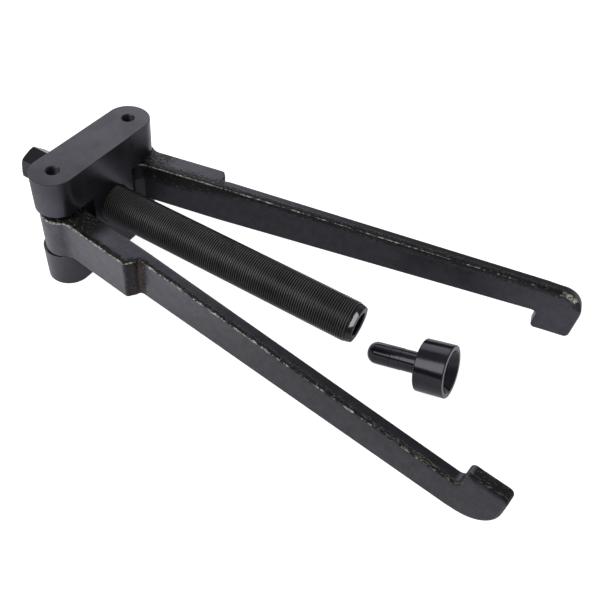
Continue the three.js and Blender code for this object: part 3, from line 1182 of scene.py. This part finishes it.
@dataclass
class Arm:
    """One hooked arm, made about its own pivot: X to the hook, +Y to the screw, +Z to the hook's tip."""

    name: str
    side: int
    splay: float
    reach: float
    hook: float
    rise: float
    heel: float
    pin_spacing: float = PIN_SPACING
    axis_height: float = AXIS_HEIGHT
    inner: float = 13.3 * MM
    pad_outer: float = -11.2 * MM
    bar_outer: float = 0.9 * MM
    pad_length: float = 97.0 * MM
    step_lean: float = 4.5 * MM
    step_fillet: float = 4.0 * MM
    step_round: float = 2.2 * MM
    hook_side: Pair = (18.8 * MM, 10.8 * MM)
    back_side: Pair = (21.2 * MM, 17.5 * MM)
    hook_fillet: float = 5.0 * MM
    tip_round: float = 4.5 * MM
    knuckle_radius: float = 19.6 * MM
    knuckle_offset: float = 4.0 * MM
    inner_blend: float = 8.0 * MM
    outer_blend: float = 12.0 * MM
    hub_radius: float = 15.0 * MM
    hub_half: float = 23.1 * MM
    bore: float = 9.8 * MM
    edge: float = 0.9 * MM
    burnt_edge: float = 0.9 * MM
    hook_edge: float = 2.6 * MM
    step: float = 1.2 * MM
    burnt_side: int = -1
    face_depth: float = 0.05 * MM
    burn_reach: float = 1.2 * MM
    burn_waves: Pair = (170.0, 700.0)
    burn_depths: Pair = (0.65 * MM, 0.45 * MM)
    burr_fade: float = 0.35
    burr_width: float = 2.5 * MM
    soot_reach: Pair = (8.5 * MM, 1.5 * MM)
    # Painted shade: how much wider the dark band grows on the walls towards the root, and over what
    # stretch.
    root_shade: float = 0.0
    root_shade_stretch: Pair = (130.0 * MM, 90.0 * MM)
    # Painted shade on the caps near the pivot: where it is full and over what stretch it fades.
    knuckle_shade_stretch: Pair = (52.0 * MM, 14.0 * MM)
    satin_spot: Pair = (57.0 * MM, -1.0 * MM)
    satin_reach: Pair = (15.0 * MM, 9.0 * MM)
    stain_reach: float = 6.0 * MM
    # Painted shade round the step's foot: how far it reaches.
    foot_shade_reach: float = 6.5 * MM
    speck_reach: float = 8.0 * MM
    scuff_reach: Pair = (8.5 * MM, 6.0 * MM)
    notch_reach: float = 7.0 * MM
    notch_pull: Place = (-1.4 * MM, 2.6 * MM, 0.0)
    rows: int = 30
    columns: int = 14

    def sides(self) -> tuple[np.ndarray, np.ndarray]:
        """The plan's inner and outer sides from the knuckle's back to the end of the step.

        Returns:
            Two lists of matching points, one row each.
        """
        middle, radius = self.knuckle_offset, self.knuckle_radius
        inner_y, outer_y = self.inner + self.inner_blend, self.outer_blend - self.pad_outer
        inner_x = middle + math.sqrt((radius + self.inner_blend) ** 2 - inner_y ** 2)
        outer_x = middle + math.sqrt((radius + self.outer_blend) ** 2 - outer_y ** 2)
        inner_turn = math.degrees(math.atan2(inner_y, inner_x - middle))
        outer_turn = math.degrees(math.atan2(outer_y, outer_x - middle))
        inner = arc((middle, 0.0), radius, 180.0, inner_turn, 60)
        inner += arc((inner_x, inner_y), self.inner_blend, inner_turn - 180.0, -90.0, 10)[1:]
        outer = arc((middle, 0.0), radius, -180.0, -outer_turn, 60)
        outer += arc((outer_x, -outer_y), self.outer_blend, 180.0 - outer_turn, 90.0, 10)[1:]
        pad_end = self.pad_length - self.step_lean - self.step_round
        along = np.linspace(0.0, 1.0, 46)[1:]
        inner_end, outer_end = inner[-1][0], outer[-1][0]
        inner += [(inner_end + (pad_end - inner_end) * t, self.inner) for t in along]
        outer += [(outer_end + (pad_end - outer_end) * t, self.pad_outer) for t in along]
        stairs = self.stairs()
        outer += stairs
        inner += [(x, self.inner) for x in np.linspace(pad_end, stairs[-1][0], len(stairs) + 1)[1:]]
        return np.array(inner), np.array(outer)

    def stairs(self) -> Line:
        """The outer side's step from the pad to the bar, rounded above and filleted at its foot.

        Returns:
            Its points.
        """
        corner = np.array([self.pad_length - self.step_lean, self.pad_outer])
        bend = np.array([self.pad_length, self.bar_outer])
        foot = bend - (0.0, self.step_fillet)
        before = corner - (self.step_round, 0.0)
        after = corner + (foot - corner) / np.linalg.norm(foot - corner) * self.step_round
        run = [after + (foot - after) * t for t in np.linspace(0, 1, 9)[1:]]
        fillet = bent(foot, bend, bend + (self.step_fillet, 0.0))
        return [tuple(p) for p in [*bent(before, corner, after), *run, *fillet]]

    def heights(self, x: np.ndarray) -> tuple[np.ndarray, np.ndarray]:
        """Heights of the hook side and of the back side, from the knuckle to where the hook starts.

        Args:
            x: Distances along the arm.

        Returns:
            The heights of both sides.
        """
        face = self.reach - self.hook
        slope_top = (self.hook_side[1] - self.hook_side[0]) / (face - self.hook_fillet - self.pad_length)
        slope_low = (self.back_side[0] - self.back_side[1]) / (self.reach - self.heel - self.pad_length)
        past = np.maximum(x - self.pad_length, 0.0)
        return self.hook_side[0] + slope_top * past, -self.back_side[0] + slope_low * past

    def ends(self) -> tuple[np.ndarray, np.ndarray]:
        """The profile's hook side and back side from the end of the step to the end face.

        Returns:
            Two lists of matching points as x and z, one row each.
        """
        start = self.pad_length + self.step_fillet
        face, end = self.reach - self.hook, self.reach - self.heel
        level, tip = self.hook_side[1], self.hook_side[1] + self.rise
        fillet, corner = self.hook_fillet, self.tip_round
        top = [(x, self.heights(x)[0]) for x in np.arange(start, face - fillet, self.step)]
        top += arc((face - fillet, level + fillet), fillet, -90.0, 0.0, 8)
        top += [(face, z) for z in np.linspace(level + fillet, tip - corner, 8)[1:-1]]
        top += arc((face + corner, tip - corner), corner, 180.0, 90.0, 7)
        top += [(x, tip) for x in np.linspace(face + corner, self.reach - corner, 20)[1:-1]]
        top += arc((self.reach - corner, tip - corner), corner, 90.0, 0.0, 7)
        low = [(x, self.heights(x)[1]) for x in np.arange(start, end, self.step)]
        low += arc((end, self.heel - self.back_side[1]), self.heel, -90.0, 0.0, 36)
        return evened(top, low)

    def section(self, high: np.ndarray, low: np.ndarray, s: np.ndarray, t: np.ndarray) -> np.ndarray:
        """Points of one cut across the bar or the hook.

        Args:
            high: The cut's place on the hook side, as x and z.
            low: Its place on the back side.
            s: The points' shares of the way from the outer wall to the inner one.
            t: Their shares of the way from the back side to the hook side.

        Returns:
            The points, one row each.
        """
        return np.column_stack([low[0] + (high[0] - low[0]) * t,
                                self.bar_outer + (self.inner - self.bar_outer) * s,
                                low[1] + (high[1] - low[1]) * t])

    def shell(self) -> bpy.types.Object:
        """Makes the arm without hubs or bore, as a sharp-edged skin of fine rings.

        Returns:
            The closed skin, about the arm's own pivot.
        """
        near, across = ease(self.rows), ease(self.columns)
        grid = np.array([
            *((1.0, 1.0 - t) for t in near[:-1]), *((1.0 - s, 0.0) for s in across[:-1]),
            *((0.0, t) for t in near[:-1]), *((s, 1.0) for s in across[:-1]),
        ])
        s, t = grid.T
        rings = []
        for a, b in zip(*self.sides()):
            x = b[0] + (a[0] - b[0]) * s
            high, deep = self.heights(x)
            rings.append(np.column_stack([x, b[1] + (a[1] - b[1]) * s, deep + (high - deep) * t]))
        top, low = self.ends()
        rings += [self.section(a, b, s, t) for a, b in zip(top[1:], low[1:])]
        s, t = (part.ravel() for part in np.meshgrid(across[1:-1], near[1:-1]))
        last = (len(rings) - 1) * len(grid)
        points = np.concatenate([*rings, self.section(top[-1], low[-1], s, t)])
        faces = [face for start in range(0, last, len(grid)) for face in band(start, len(grid))]
        faces += self.end_face(last, self.rows, self.columns)
        return mesh_object("arm_shell", points, faces)

    def end_face(self, start: int, rows: int, columns: int) -> list[list[int]]:
        """Fills the last ring by a grid of quads, whose inner corners follow the ring's own.

        Args:
            start: Number of the ring's first corner.
            rows: Corners up each wall.
            columns: Corners across each cap.

        Returns:
            The faces.
        """
        low, high, last = 2 * (rows - 1) + columns - 1, rows - 1, start + 2 * (rows + columns - 2)
        spots = np.zeros((rows, columns), int)
        spots[1:-1, 1:-1] = last + np.arange((rows - 2) * (columns - 2)).reshape(rows - 2, columns - 2)
        spots[:0:-1, -1] = start + np.arange(rows - 1)
        spots[0, :0:-1] = start + high + np.arange(columns - 1)
        spots[:-1, 0] = start + high + columns - 1 + np.arange(rows - 1)
        spots[-1, :-1] = start + low + np.arange(columns - 1)
        return [[int(spots[i, j]), int(spots[i, j + 1]), int(spots[i + 1, j + 1]), int(spots[i + 1, j])]
                for i in range(rows - 1) for j in range(columns - 1)]

    def lines(self) -> tuple[np.ndarray, np.ndarray]:
        """Draws the walls' line in plan and the caps' line in profile, for distances.

        Returns:
            Both lines, carried past the arm where the walls or the caps don't end.
        """
        spare = 20 * MM
        inner, outer = self.sides()
        beyond = self.reach + spare
        plan = np.concatenate([[(beyond, self.inner)], inner[::-1], outer[1:], [(beyond, self.bar_outer)]])
        top, low = self.ends()
        back = self.knuckle_offset - self.knuckle_radius - spare
        profile = np.concatenate([
            [(back, -self.back_side[0]), (self.pad_length, -self.back_side[0])], low,
            top[::-1], [(self.pad_length, self.hook_side[0]), (back, self.hook_side[0])]])
        return plan, profile

    def measures(self, places: np.ndarray) -> tuple[np.ndarray, ...]:
        """How far points lie from the walls in plan and from the caps in profile.

        Args:
            places: Points in the arm's own frame.

        Returns:
            Distance to the walls, the way inwards from them, and the same two for the caps.
        """
        plan, profile = self.lines()
        wall, wall_way = nearest(places[:, (0, 1)], plan)
        cap, cap_way = nearest(places[:, (0, 2)], profile)
        return wall, wall_way, cap, cap_way

    def round_edges(self, places: np.ndarray) -> np.ndarray:
        """Moves the points near the long edges onto a round, wider at the hook than on the bar.

        Args:
            places: Points in the arm's own frame.

        Returns:
            Their new places.
        """
        wall, wall_way, cap, cap_way = self.measures(places)
        hook = held((places[:, 0] - self.reach + self.hook + 8 * MM) / (16 * MM))
        plain = held(self.edge_distance(places, wall, cap) / (8 * MM) - 1.0)
        edge = self.burnt_edge + (self.edge - self.burnt_edge) * plain
        edge += (self.hook_edge - edge) * np.maximum(hook, 0.4 * plain)
        a = np.minimum(wall / edge, 1.0)
        b = np.minimum(cap / edge, 1.0)
        phi = np.radians(45.0 + 45.0 * a - 45.0 * b)
        near = (wall < edge) & (cap < edge)
        inwards = np.where(near, edge * (1 - np.cos(phi)) - wall, 0.0)
        down = np.where(near, edge * (1 - np.sin(phi)) - cap, 0.0)
        moved = places.copy()
        moved[:, 0] += wall_way[:, 0] * inwards + cap_way[:, 0] * down
        moved[:, 1] += wall_way[:, 1] * inwards
        moved[:, 2] += cap_way[:, 1] * down
        return moved

    def edge_distance(self, places: np.ndarray, wall: np.ndarray, cap: np.ndarray) -> np.ndarray:
        """How far points lie, along the surface, from the upper edge that was burnt ragged.

        Args:
            places: Points in the arm's own frame.
            wall: Their distances to the walls.
            cap: Their distances to the caps.

        Returns:
            The distances, which are large on the parts that face away from that edge.
        """
        x, y, z = places.T
        bar = held((x - self.pad_length) / self.step_fillet)
        outer = self.pad_outer + (self.bar_outer - self.pad_outer) * bar
        middle = np.where(x < 2 * self.knuckle_radius, 0.0, (self.inner + outer) / 2)
        beside = np.clip((y - middle) * self.burnt_side / MM, -1.0, 1.0)
        above = np.clip(z * self.up / (4 * MM), -1.0, 1.0)
        away = (2.0 - beside - above) * 20 * MM
        return np.maximum(wall, cap) + away

    def roughen(self, places: np.ndarray) -> np.ndarray:
        """Works the faces slightly and the burnt edge deeply uneven, always inwards.

        Args:
            places: Points in the arm's own frame.

        Returns:
            Their new places.
        """
        wall, wall_way, cap, cap_way = self.measures(places)
        burnt = np.exp(-self.edge_distance(places, wall, cap) / self.burn_reach)
        broad, fine = (np.array([0.5 + 0.5 * smooth_noise(p, waves, seed) for p in places])
                       for waves, seed in zip(self.burn_waves, (3.0, 5.0)))
        on_cap = held((wall - cap) / (0.5 * MM))
        depth = self.face_depth * broad + burnt * (self.burn_depths[0] * broad + self.burn_depths[1] * fine)
        moved = places.copy()
        moved[:, 0] += cap_way[:, 0] * depth * (0.3 + 0.7 * on_cap)
        moved[:, 2] += cap_way[:, 1] * depth * (0.3 + 0.7 * on_cap)
        moved[:, :2] += wall_way * (depth * burnt * (1.0 - 0.7 * on_cap))[:, None]
        return moved

    def notch(self, places: np.ndarray) -> np.ndarray:
        """Burns the top of the step's inner corner back, as a torch does where it turns.

        Args:
            places: Points in the arm's own frame.

        Returns:
            Their new places.
        """
        level = self.hook_side[0] if self.up > 0 else -self.back_side[0]
        gap = (places - (self.pad_length, self.bar_outer, level)) * (1.0, 1.0, 0.6)
        share = held(1.0 - np.linalg.norm(gap, axis=1) / self.notch_reach) ** 2
        return places + np.outer(share, self.notch_pull)

    def paint(self, thing: bpy.types.Object, places: np.ndarray) -> None:
        """Stores what the finish needs: soot with painted shade near the pivot, by the root and round the
        step's foot, the bare edge, crumbs, satin, stains and scuffs.

        Args:
            thing: The arm.
            places: Its corners, in the arm's own frame.
        """
        x, y, z = places.T
        wall, _, cap, _ = self.measures(places)
        away = self.edge_distance(places, wall, cap)
        on_cap = held((wall - cap) / (0.6 * MM) + 0.5)
        on_wall = 1.0 - on_cap
        along = x / self.reach
        hook_up = self.up > 0

        # Painted shade: on the walls the soot-dark band widens towards the root, beside the yoke.
        root = held((self.root_shade_stretch[0] - x) / self.root_shade_stretch[1]) * on_wall
        reach = self.soot_reach[1] + (self.soot_reach[0] - self.soot_reach[1]) * on_cap
        tip = held((x - self.reach + self.hook - 2 * MM) / (3 * MM)) * on_cap * (z > 0.0) * hook_up
        # Painted shade: the caps near the pivot, by and under the yoke's plates, are darkened as if sooty.
        knuckle_shade = held((self.knuckle_shade_stretch[0] - x) / self.knuckle_shade_stretch[1]) * on_cap
        soot = held(1.0 - away / (reach + self.root_shade * root))
        soot = np.maximum.reduce([soot, 0.85 * tip, 0.6 * knuckle_shade])
        soot_and_shade_share = held(soot / 0.3)

        middle = np.hypot(x - self.reach + 0.55 * self.hook, y - self.inner / 2)
        crowd = held(1.4 - middle / self.speck_reach) * tip
        front = held((along - 0.55) / 0.25) * soot_and_shade_share * (tip < 0.1) * hook_up
        speck = np.maximum.reduce([crowd, 0.6 * knuckle_shade, 0.35 * soot_and_shade_share * on_cap, front])

        width = self.burr_width * (1.0 + 0.3 * held(1.2 - np.abs(x) / (25 * MM)))
        burr = held(1.0 - (away - 0.3 * MM) / width) * (1.0 - self.burr_fade * along)
        if hook_up:
            burr *= held((self.reach - self.hook - x) / (8 * MM))

        # Painted shade in the step's inner corner: the walls round its foot are darkened as if sooty.
        foot = np.hypot(x - self.pad_length, y - self.bar_outer + 5 * MM)
        soot = np.maximum(soot, 0.9 * held(1.9 - foot / self.foot_shade_reach) * on_wall)
        corner = np.hypot(x - self.pad_length - 1.5 * MM, y - self.bar_outer + 2 * MM)
        stain = held(1.3 - corner / self.stain_reach) * on_wall
        spot = np.hypot((x - self.satin_spot[0]) / self.satin_reach[0],
                        (y - self.satin_spot[1]) / self.satin_reach[1])
        satin = 0.6 * held(1.2 - spot) * on_cap * hook_up
        heel = np.hypot((x - self.reach + 0.62 * self.heel) / self.scuff_reach[0],
                        (z + self.back_side[1] - 0.06 * self.heel) / self.scuff_reach[1])
        scuff = held(1.5 - heel) * held(1.6 - away / (3.2 * MM)) * (not hook_up)
        for name, values in (("soot", soot), ("burr", burr), ("speck", speck), ("satin", satin),
                             ("stain", stain), ("scuff", scuff)):
            painted(thing, name, values)

    @property
    def up(self) -> int:
        """Whether the arm's own Z points up in the frame (1) or down (-1)."""
        return -self.side

    def placing(self) -> Matrix:
        """Finds where the arm's own frame stands in the row frame at rest.

        Returns:
            The placing.
        """
        place = Matrix.Translation((0.0, self.side * self.pin_spacing / 2, self.axis_height))
        swing = Matrix.Rotation(self.side * math.radians(self.splay), 4, "Z")
        over = Matrix.Rotation(math.pi, 4, "X") if self.side > 0 else Matrix.Identity(4)
        return place @ swing @ over

    def build(self, finish: BlackFinish) -> bpy.types.Object:
        """Builds and dresses the arm.

        Args:
            finish: Its surface.

        Returns:
            The finished piece.
        """
        arm = self.shell()
        weld(arm)
        for work in (self.round_edges, self.roughen, self.notch):
            set_corners(arm, work(corners_of(arm)))
        weld(arm)
        hub = turned("hub", [(0.0, -self.hub_half), (self.hub_radius, -self.hub_half),
                             (self.hub_radius, self.hub_half), (0.0, self.hub_half)], 72)
        hub.data.transform(UPRIGHT)
        combine(arm, hub, Join.ADD)
        bore = turned("pin_hole", [(0.0, -0.1), (self.bore, -0.1), (self.bore, 0.1), (0.0, 0.1)], 72)
        bore.data.transform(UPRIGHT)
        combine(arm, bore, Join.CUT)
        self.paint(arm, corners_of(arm))
        arm.name = f"{self.name}_body"
        arm.data.name = arm.name
        arm.data.transform(self.placing())
        shade(arm, 50.0)
        hand_over(arm, self.name, self.name, finish.build())
        return arm


def ease(count: int) -> np.ndarray:
    """Shares from 0 to 1 that crowd towards both ends."""
    t = np.linspace(0.0, 1.0, count)
    return t - np.sin(2 * math.pi * t) / (2 * math.pi) * 0.93


def held(values: np.ndarray) -> np.ndarray:
    """Values kept from 0 to 1."""
    return np.clip(values, 0.0, 1.0)


def bent(start: np.ndarray, corner: np.ndarray, end: np.ndarray) -> list[np.ndarray]:
    """A curve that rounds a corner, without its first point."""
    shares = np.linspace(0, 1, 7)[1:]
    return [start * (1 - t) ** 2 + 2 * corner * t * (1 - t) + end * t ** 2 for t in shares]


def evened(first: Line, second: Line) -> tuple[np.ndarray, np.ndarray]:
    """Gives two lines the same number of points, by adding to the shorter along its last part.

    Args:
        first: One line.
        second: The other.

    Returns:
        Both lines, as arrays of equal length.
    """
    lines = [list(map(tuple, first)), list(map(tuple, second))]
    while len(lines[0]) != len(lines[1]):
        short = min(lines, key=len)
        gaps = [math.dist(p, q) for p, q in zip(short, short[1:])]
        widest = max(range(len(gaps)), key=lambda i: gaps[i] * (1.0 + i / len(gaps)))
        p, q = short[widest], short[widest + 1]
        short.insert(widest + 1, ((p[0] + q[0]) / 2, (p[1] + q[1]) / 2))
    return np.array(lines[0]), np.array(lines[1])


def nearest(points: np.ndarray, line: np.ndarray) -> tuple[np.ndarray, np.ndarray]:
    """Distance from points to a line, with the line's left-hand side taken as inwards.

    Args:
        points: Rows of two numbers.
        line: The line's points, anticlockwise round the inside.

    Returns:
        The distances, and the unit way inwards at the nearest place.
    """
    start, end = line[:-1], line[1:]
    run = end - start
    length = np.maximum((run ** 2).sum(axis=1), 1e-18)
    best = np.full(len(points), 1e9)
    way = np.zeros((len(points), 2))
    for a, d, l in zip(start, run, length):
        share = np.clip(((points - a) @ d) / l, 0.0, 1.0)
        gap = points - (a + share[:, None] * d)
        reach = np.hypot(gap[:, 0], gap[:, 1])
        closer = reach < best
        best[closer] = reach[closer]
        way[closer] = (-d[1] / math.sqrt(l), d[0] / math.sqrt(l))
    return best, way


@dataclass
class ForcingScrew:
    """The centre screw: a hexagon behind, a thread, and a bored nose in front."""

    radius: float = 17.9 * MM
    depth: float = 1.25 * MM
    pitch: float = INCH / 12
    axis_height: float = AXIS_HEIGHT
    back: float = -82.0 * MM
    hexagon_length: float = 30.0 * MM
    flats: float = 30.0 * MM
    turn: float = 20.8
    end_radius: float = 15.6 * MM
    chamfer: float = 1.6 * MM
    edge: float = 0.35 * MM
    nose: float = 275.0 * MM
    nose_rim: float = 0.8 * MM
    nose_length: float = 6.5 * MM
    nose_radius: float = 15.8 * MM
    bore: float = 10.7 * MM
    bore_depth: float = 50.0 * MM
    segments: int = 96

    def build(self, finish: BlackFinish) -> bpy.types.Object:
        """Builds and dresses the screw.

        Args:
            finish: Its surface.

        Returns:
            The finished piece.
        """
        material = finish.build()
        front = self.back + self.hexagon_length
        root = self.radius - self.depth
        segments = self.segments
        start_radius = root - 0.3 * MM
        thread = Helix("screw", crest=self.radius, root=root, pitch=self.pitch, start=front, end=self.nose,
                       start_radius=start_radius, end_radius=self.nose_radius, start_slope=1.0,
                       end_slope=(self.radius - self.nose_radius) / self.nose_length, segments=segments)
        sheet = thread.sheet(material)
        rim = self.nose_rim
        inside = turned("nose", [
            (self.nose_radius, self.nose), (self.bore + rim, self.nose), (self.bore, self.nose - rim),
            (self.bore, self.nose - self.bore_depth + 3 * MM), (0.0, self.nose - self.bore_depth),
        ], segments)
        tail = turned("tail", [(0.0, front), (start_radius, front)], segments)
        threaded = joined("threaded", [sheet, inside, tail])
        head = prism("head", hexagon(self.flats, self.turn), self.back, front + 0.2 * MM)
        head.data.transform(UPRIGHT.inverted())
        wide = self.end_radius + 2 * self.chamfer
        past = self.back + 100 * MM
        lead = turned("lead", [
            (0.0, self.back), (self.end_radius, self.back), (wide, self.back + 1.1 * self.chamfer),
            (wide, past), (0.0, past),
        ], segments)
        combine(head, lead, Join.KEEP)
        soften(head, self.edge)
        screw = joined("screw_body", [threaded, head])
        screw.data.transform(Matrix.Translation((0.0, 0.0, self.axis_height)))
        shade(screw)
        hand_over(screw, "forcing_screw", "forcing_screw", material)
        return screw


@dataclass
class PushCup:
    """The loose push cup, lying on its back edge and the round of its shank."""

    centre: Place = (331.2 * MM, 23.3 * MM, 21.93 * MM)
    tilt: float = 17.18
    yaw: float = 1.2
    radius: float = 23.2 * MM
    length: float = 25.8 * MM
    edge: float = 1.0 * MM
    mouth: float = 18.8 * MM
    floor: float = 14.7 * MM
    depth: float = 7.4 * MM
    shank: float = 9.85 * MM
    shank_length: float = 49.6 * MM
    shank_round: float = 8.5 * MM
    neck: float = 9.6 * MM
    neck_length: float = 17.5 * MM
    groove: float = 0.25 * MM
    groove_place: float = -26.6 * MM

    def build(self, finish: BlackFinish) -> bpy.types.Object:
        """Builds and dresses the cup.

        Args:
            finish: Its surface.

        Returns:
            The finished piece.
        """
        material = finish.build()
        edge = self.edge
        groove, line = self.groove, self.groove_place
        tip = (self.shank_round - self.shank_length, self.shank - self.shank_round)
        along = [
            (-self.shank_length, 0.0), *arc(tip, self.shank_round, 180.0, 90.0, 12),
            (line - groove, self.shank), (line, self.shank - groove), (line + groove, self.shank),
            (-self.neck_length - groove, self.shank), (-self.neck_length, self.neck),
            (-2 * groove, self.neck), (0.0, self.neck + 2 * groove),
            *arc((edge, self.radius - edge), edge, 180.0, 90.0, 6),
            *arc((self.length - edge, self.radius - edge), edge, 90.0, 0.0, 6),
            (self.length, self.mouth + 0.3 * MM), (self.length - 0.2 * MM, self.mouth),
            (self.length - self.depth, self.floor), (self.length - self.depth, 0.0),
        ]
        cup = turned("cup_body", [(radius, x) for x, radius in along], 144)
        place = (Matrix.Translation(self.centre) @ Matrix.Rotation(math.radians(self.yaw), 4, "Z")
                 @ Matrix.Rotation(math.radians(-self.tilt), 4, "Y"))
        cup.data.transform(place)
        shade(cup)
        hand_over(cup, "push_cup", "root", material)
        return cup


@dataclass
class Softbox:
    """A flat lamp that looks at one point."""

    name: str
    place: Place
    size: Pair
    watts: float
    colour: Colour = (1.0, 1.0, 1.0)
    target: Place = (0.17, 0.0, 0.03)

    def build(self) -> None:
        """Adds the lamp to the scene."""
        light = bpy.data.lights.new(self.name, "AREA")
        light.shape = "RECTANGLE"
        light.size, light.size_y = self.size
        light.energy = self.watts
        light.color = self.colour
        lamp = bpy.data.objects.new(self.name, light)
        lamp.location = self.place
        way = Vector(self.target) - Vector(self.place)
        lamp.rotation_euler = way.to_track_quat("-Z", "Y").to_euler()
        bpy.context.scene.collection.objects.link(lamp)


@dataclass(frozen=True)
class Pool:
    """A brighter oval of the floor, seen only in reflections."""

    x: float
    y: float
    half_width: float
    half_depth: float
    strength: float

    def level(self, board: NodeBoard, spot: Sequence[Socket]) -> Socket:
        """Adds the nodes for the oval.

        Args:
            board: The floor's board.
            spot: A point's place along each axis.

        Returns:
            How much brighter the floor is there.
        """
        across = board.math("DIVIDE", board.minus(spot[0], self.x), self.half_width)
        along = board.math("DIVIDE", board.minus(spot[1], self.y), self.half_depth)
        squares = board.plus(board.math("POWER", across, 2.0), board.math("POWER", along, 2.0))
        return board.rescale(board.math("SQRT", squares), 0.2, 1.0, self.strength, 0.0)


@dataclass
class Studio:
    """The pale floor, the white surroundings, the lamps and the camera.

    The floor and the world are white to the eye, and graded only in what the metal reflects.
    """

    lens: float = 42.0675
    shift: Pair = (0.05459, 0.02021)
    eye: Place = (0.38027, -0.37186, 0.49001)
    right: Place = (0.8466168, 0.5270377, 0.0739679)
    up: Place = (-0.4385155, 0.6120560, 0.6580970)
    back: Place = (0.3015694, -0.5895920, 0.7492911)
    zenith: float = 0.27
    horizon: float = 0.75
    fill: float = 0.8
    glow_toward: Place = (-0.580, 0.612, 0.538)
    glow_angles: Pair = (11.0, 23.0)
    glow_strength: float = 1.42
    sky_tint: Colour = (1.0, 0.98, 1.06)
    floor_size: float = 6.0
    floor_gap: float = 0.2 * MM
    floor_colour: Colour = (0.85, 0.85, 0.86)
    floor_seen: float = 0.9
    floor_shine: float = 0.3
    floor_fill: float = 0.25
    floor_tint: Colour = (0.98, 0.96, 1.07)
    pools: tuple[Pool, ...] = (
        Pool(0.02, -0.19, 0.24, 0.16, 1.05),
        Pool(0.47, 0.06, 0.12, 0.10, 0.45),
        Pool(0.125, 0.08, 0.065, 0.036, 1.2),
        Pool(-0.16, 0.24, 0.34, 0.26, 0.45),
    )
    lamps: list[Softbox] = field(default_factory=list)

    def camera(self) -> None:
        """Adds the camera and makes it the scene's."""
        data = bpy.data.cameras.new("camera")
        data.sensor_width = 36.0
        data.lens = self.lens
        data.shift_x, data.shift_y = self.shift
        data.clip_start = 0.01
        data.clip_end = 30.0
        thing = bpy.data.objects.new("camera", data)
        axes = Matrix((self.right, self.up, self.back)).transposed().to_4x4()
        thing.matrix_world = Matrix.Translation(self.eye) @ axes
        bpy.context.scene.collection.objects.link(thing)
        bpy.context.scene.camera = thing

    def floor(self) -> None:
        """Adds the floor, staged so that it isn't part of the object."""
        size, low = self.floor_size, -self.floor_gap
        corners = [(-size, -size, low), (size, -size, low), (size, size, low), (-size, size, low)]
        thing = mesh_object("floor", np.array(corners), [[0, 1, 2, 3]])
        material = bpy.data.materials.new("floor")
        board = ShaderBoard(material)
        board.feed(board.shader.inputs["Base Color"], self.floor_colour)
        board.feed(board.shader.inputs["Roughness"], 1.0)
        board.feed(board.shader.inputs["Specular IOR Level"], 0.0)
        rays = board.add("ShaderNodeLightPath").outputs
        spot = board.axes(board.place)
        level: Socket | float = self.floor_shine
        for pool in self.pools:
            level = board.plus(level, pool.level(board, spot))
        seen = board.math("MAXIMUM", rays["Is Camera Ray"], rays["Is Transmission Ray"])
        shine = board.mixed(rays["Is Glossy Ray"], (self.floor_fill,) * 3, level)
        strength = board.mixed(seen, shine, (self.floor_seen,) * 3)
        board.feed(board.shader.inputs["Emission Strength"], strength)
        tint = board.mixed(rays["Is Glossy Ray"], (1.0, 1.0, 1.0), self.floor_tint)
        board.feed(board.shader.inputs["Emission Color"], tint)
        thing.data.materials.append(material)

    def surroundings(self) -> None:
        """Makes the world white to the eye and softly graded to reflections."""
        world = bpy.data.worlds.new("studio")
        bpy.context.scene.world = world
        world.use_nodes = True
        world.node_tree.nodes.clear()
        board = NodeBoard(world.node_tree)
        rays = board.add("ShaderNodeLightPath").outputs
        way = board.add("ShaderNodeTexCoord").outputs["Generated"]
        horizon = board.rescale(board.axes(way)[2], 0.08, 0.55, self.horizon, self.zenith)
        inner, outer = (math.cos(math.radians(angle)) for angle in self.glow_angles)
        toward = board.dot(way, Vector(self.glow_toward).normalized())
        level = board.plus(horizon, board.rescale(toward, outer, inner, 0.0, self.glow_strength))
        level = board.times(level, board.rescale(rays["Is Glossy Ray"], 0.0, 1.0, self.fill, 1.0))
        seen = board.math("MAXIMUM", rays["Is Camera Ray"], rays["Is Transmission Ray"])
        strength = board.add("ShaderNodeMix", {0: seen, 2: level, 3: 1.0}, data_type="FLOAT").outputs[0]
        tint = board.mixed(rays["Is Glossy Ray"], (1.0, 1.0, 1.0), self.sky_tint)
        sky = board.add("ShaderNodeBackground", {"Color": tint, "Strength": strength})
        board.add("ShaderNodeOutputWorld", {"Surface": sky.outputs[0]})

    def build(self) -> None:
        """Sets up the whole studio."""
        self.floor()
        self.surroundings()
        self.camera()
        for lamp in self.lamps:
            lamp.build()
        bpy.context.scene.view_settings.view_transform = "Standard"


def main() -> None:
    """Builds every piece in order and stages the picture."""
    logging.basicConfig(level=logging.INFO, format="%(message)s")
    Yoke().build(GroundFinish("yoke_black", roughness=0.36, black=(0.0115, 0.0108, 0.0130)))
    PivotBolts().build(TurnedFinish("bolt_black", turn=(0.0, math.radians(90), 0.0)))

    near = Arm("near_arm", side=-1, splay=7.2, reach=433 * MM, hook=32 * MM, rise=17.6 * MM, heel=28 * MM)
    near.build(PlateFinish("near_arm_black", roughness=0.3, turn=math.radians(near.splay)))
    # The far arm gets painted shade on its walls near the root.
    far = Arm("far_arm", side=1, splay=11.4, reach=434 * MM, hook=34 * MM, rise=20 * MM, heel=21 * MM,
              burnt_side=1, burnt_edge=2.0 * MM, burr_fade=0.2, burr_width=2.2 * MM,
              soot_reach=(17.0 * MM, 10.0 * MM), root_shade=22 * MM)
    far.build(PlateFinish("far_arm_black", roughness=0.3, turn=math.radians(-far.splay), raggedness=0.9,
                          bright_line=0.95, pitting=0.25, mottling=0.08))

    ForcingScrew().build(ThreadFinish("screw_black", roughness=0.3))
    cup = PushCup()
    along_cup = (0.0, math.radians(-cup.tilt), math.radians(cup.yaw))
    cup.build(TurnedFinish("cup_black", roughness=0.17, uneven=0.04, turn=along_cup))

    Studio(lamps=[
        Softbox("key", (-0.41, -1.13, 1.24), (0.9, 1.15), 11.5, (1.0, 0.99, 0.955)),
        Softbox("rim", (-0.85, 1.05, 0.26), (1.3, 0.24), 2.2, (0.98, 0.97, 1.06)),
    ]).build()


if __name__ == "__main__":
    main()
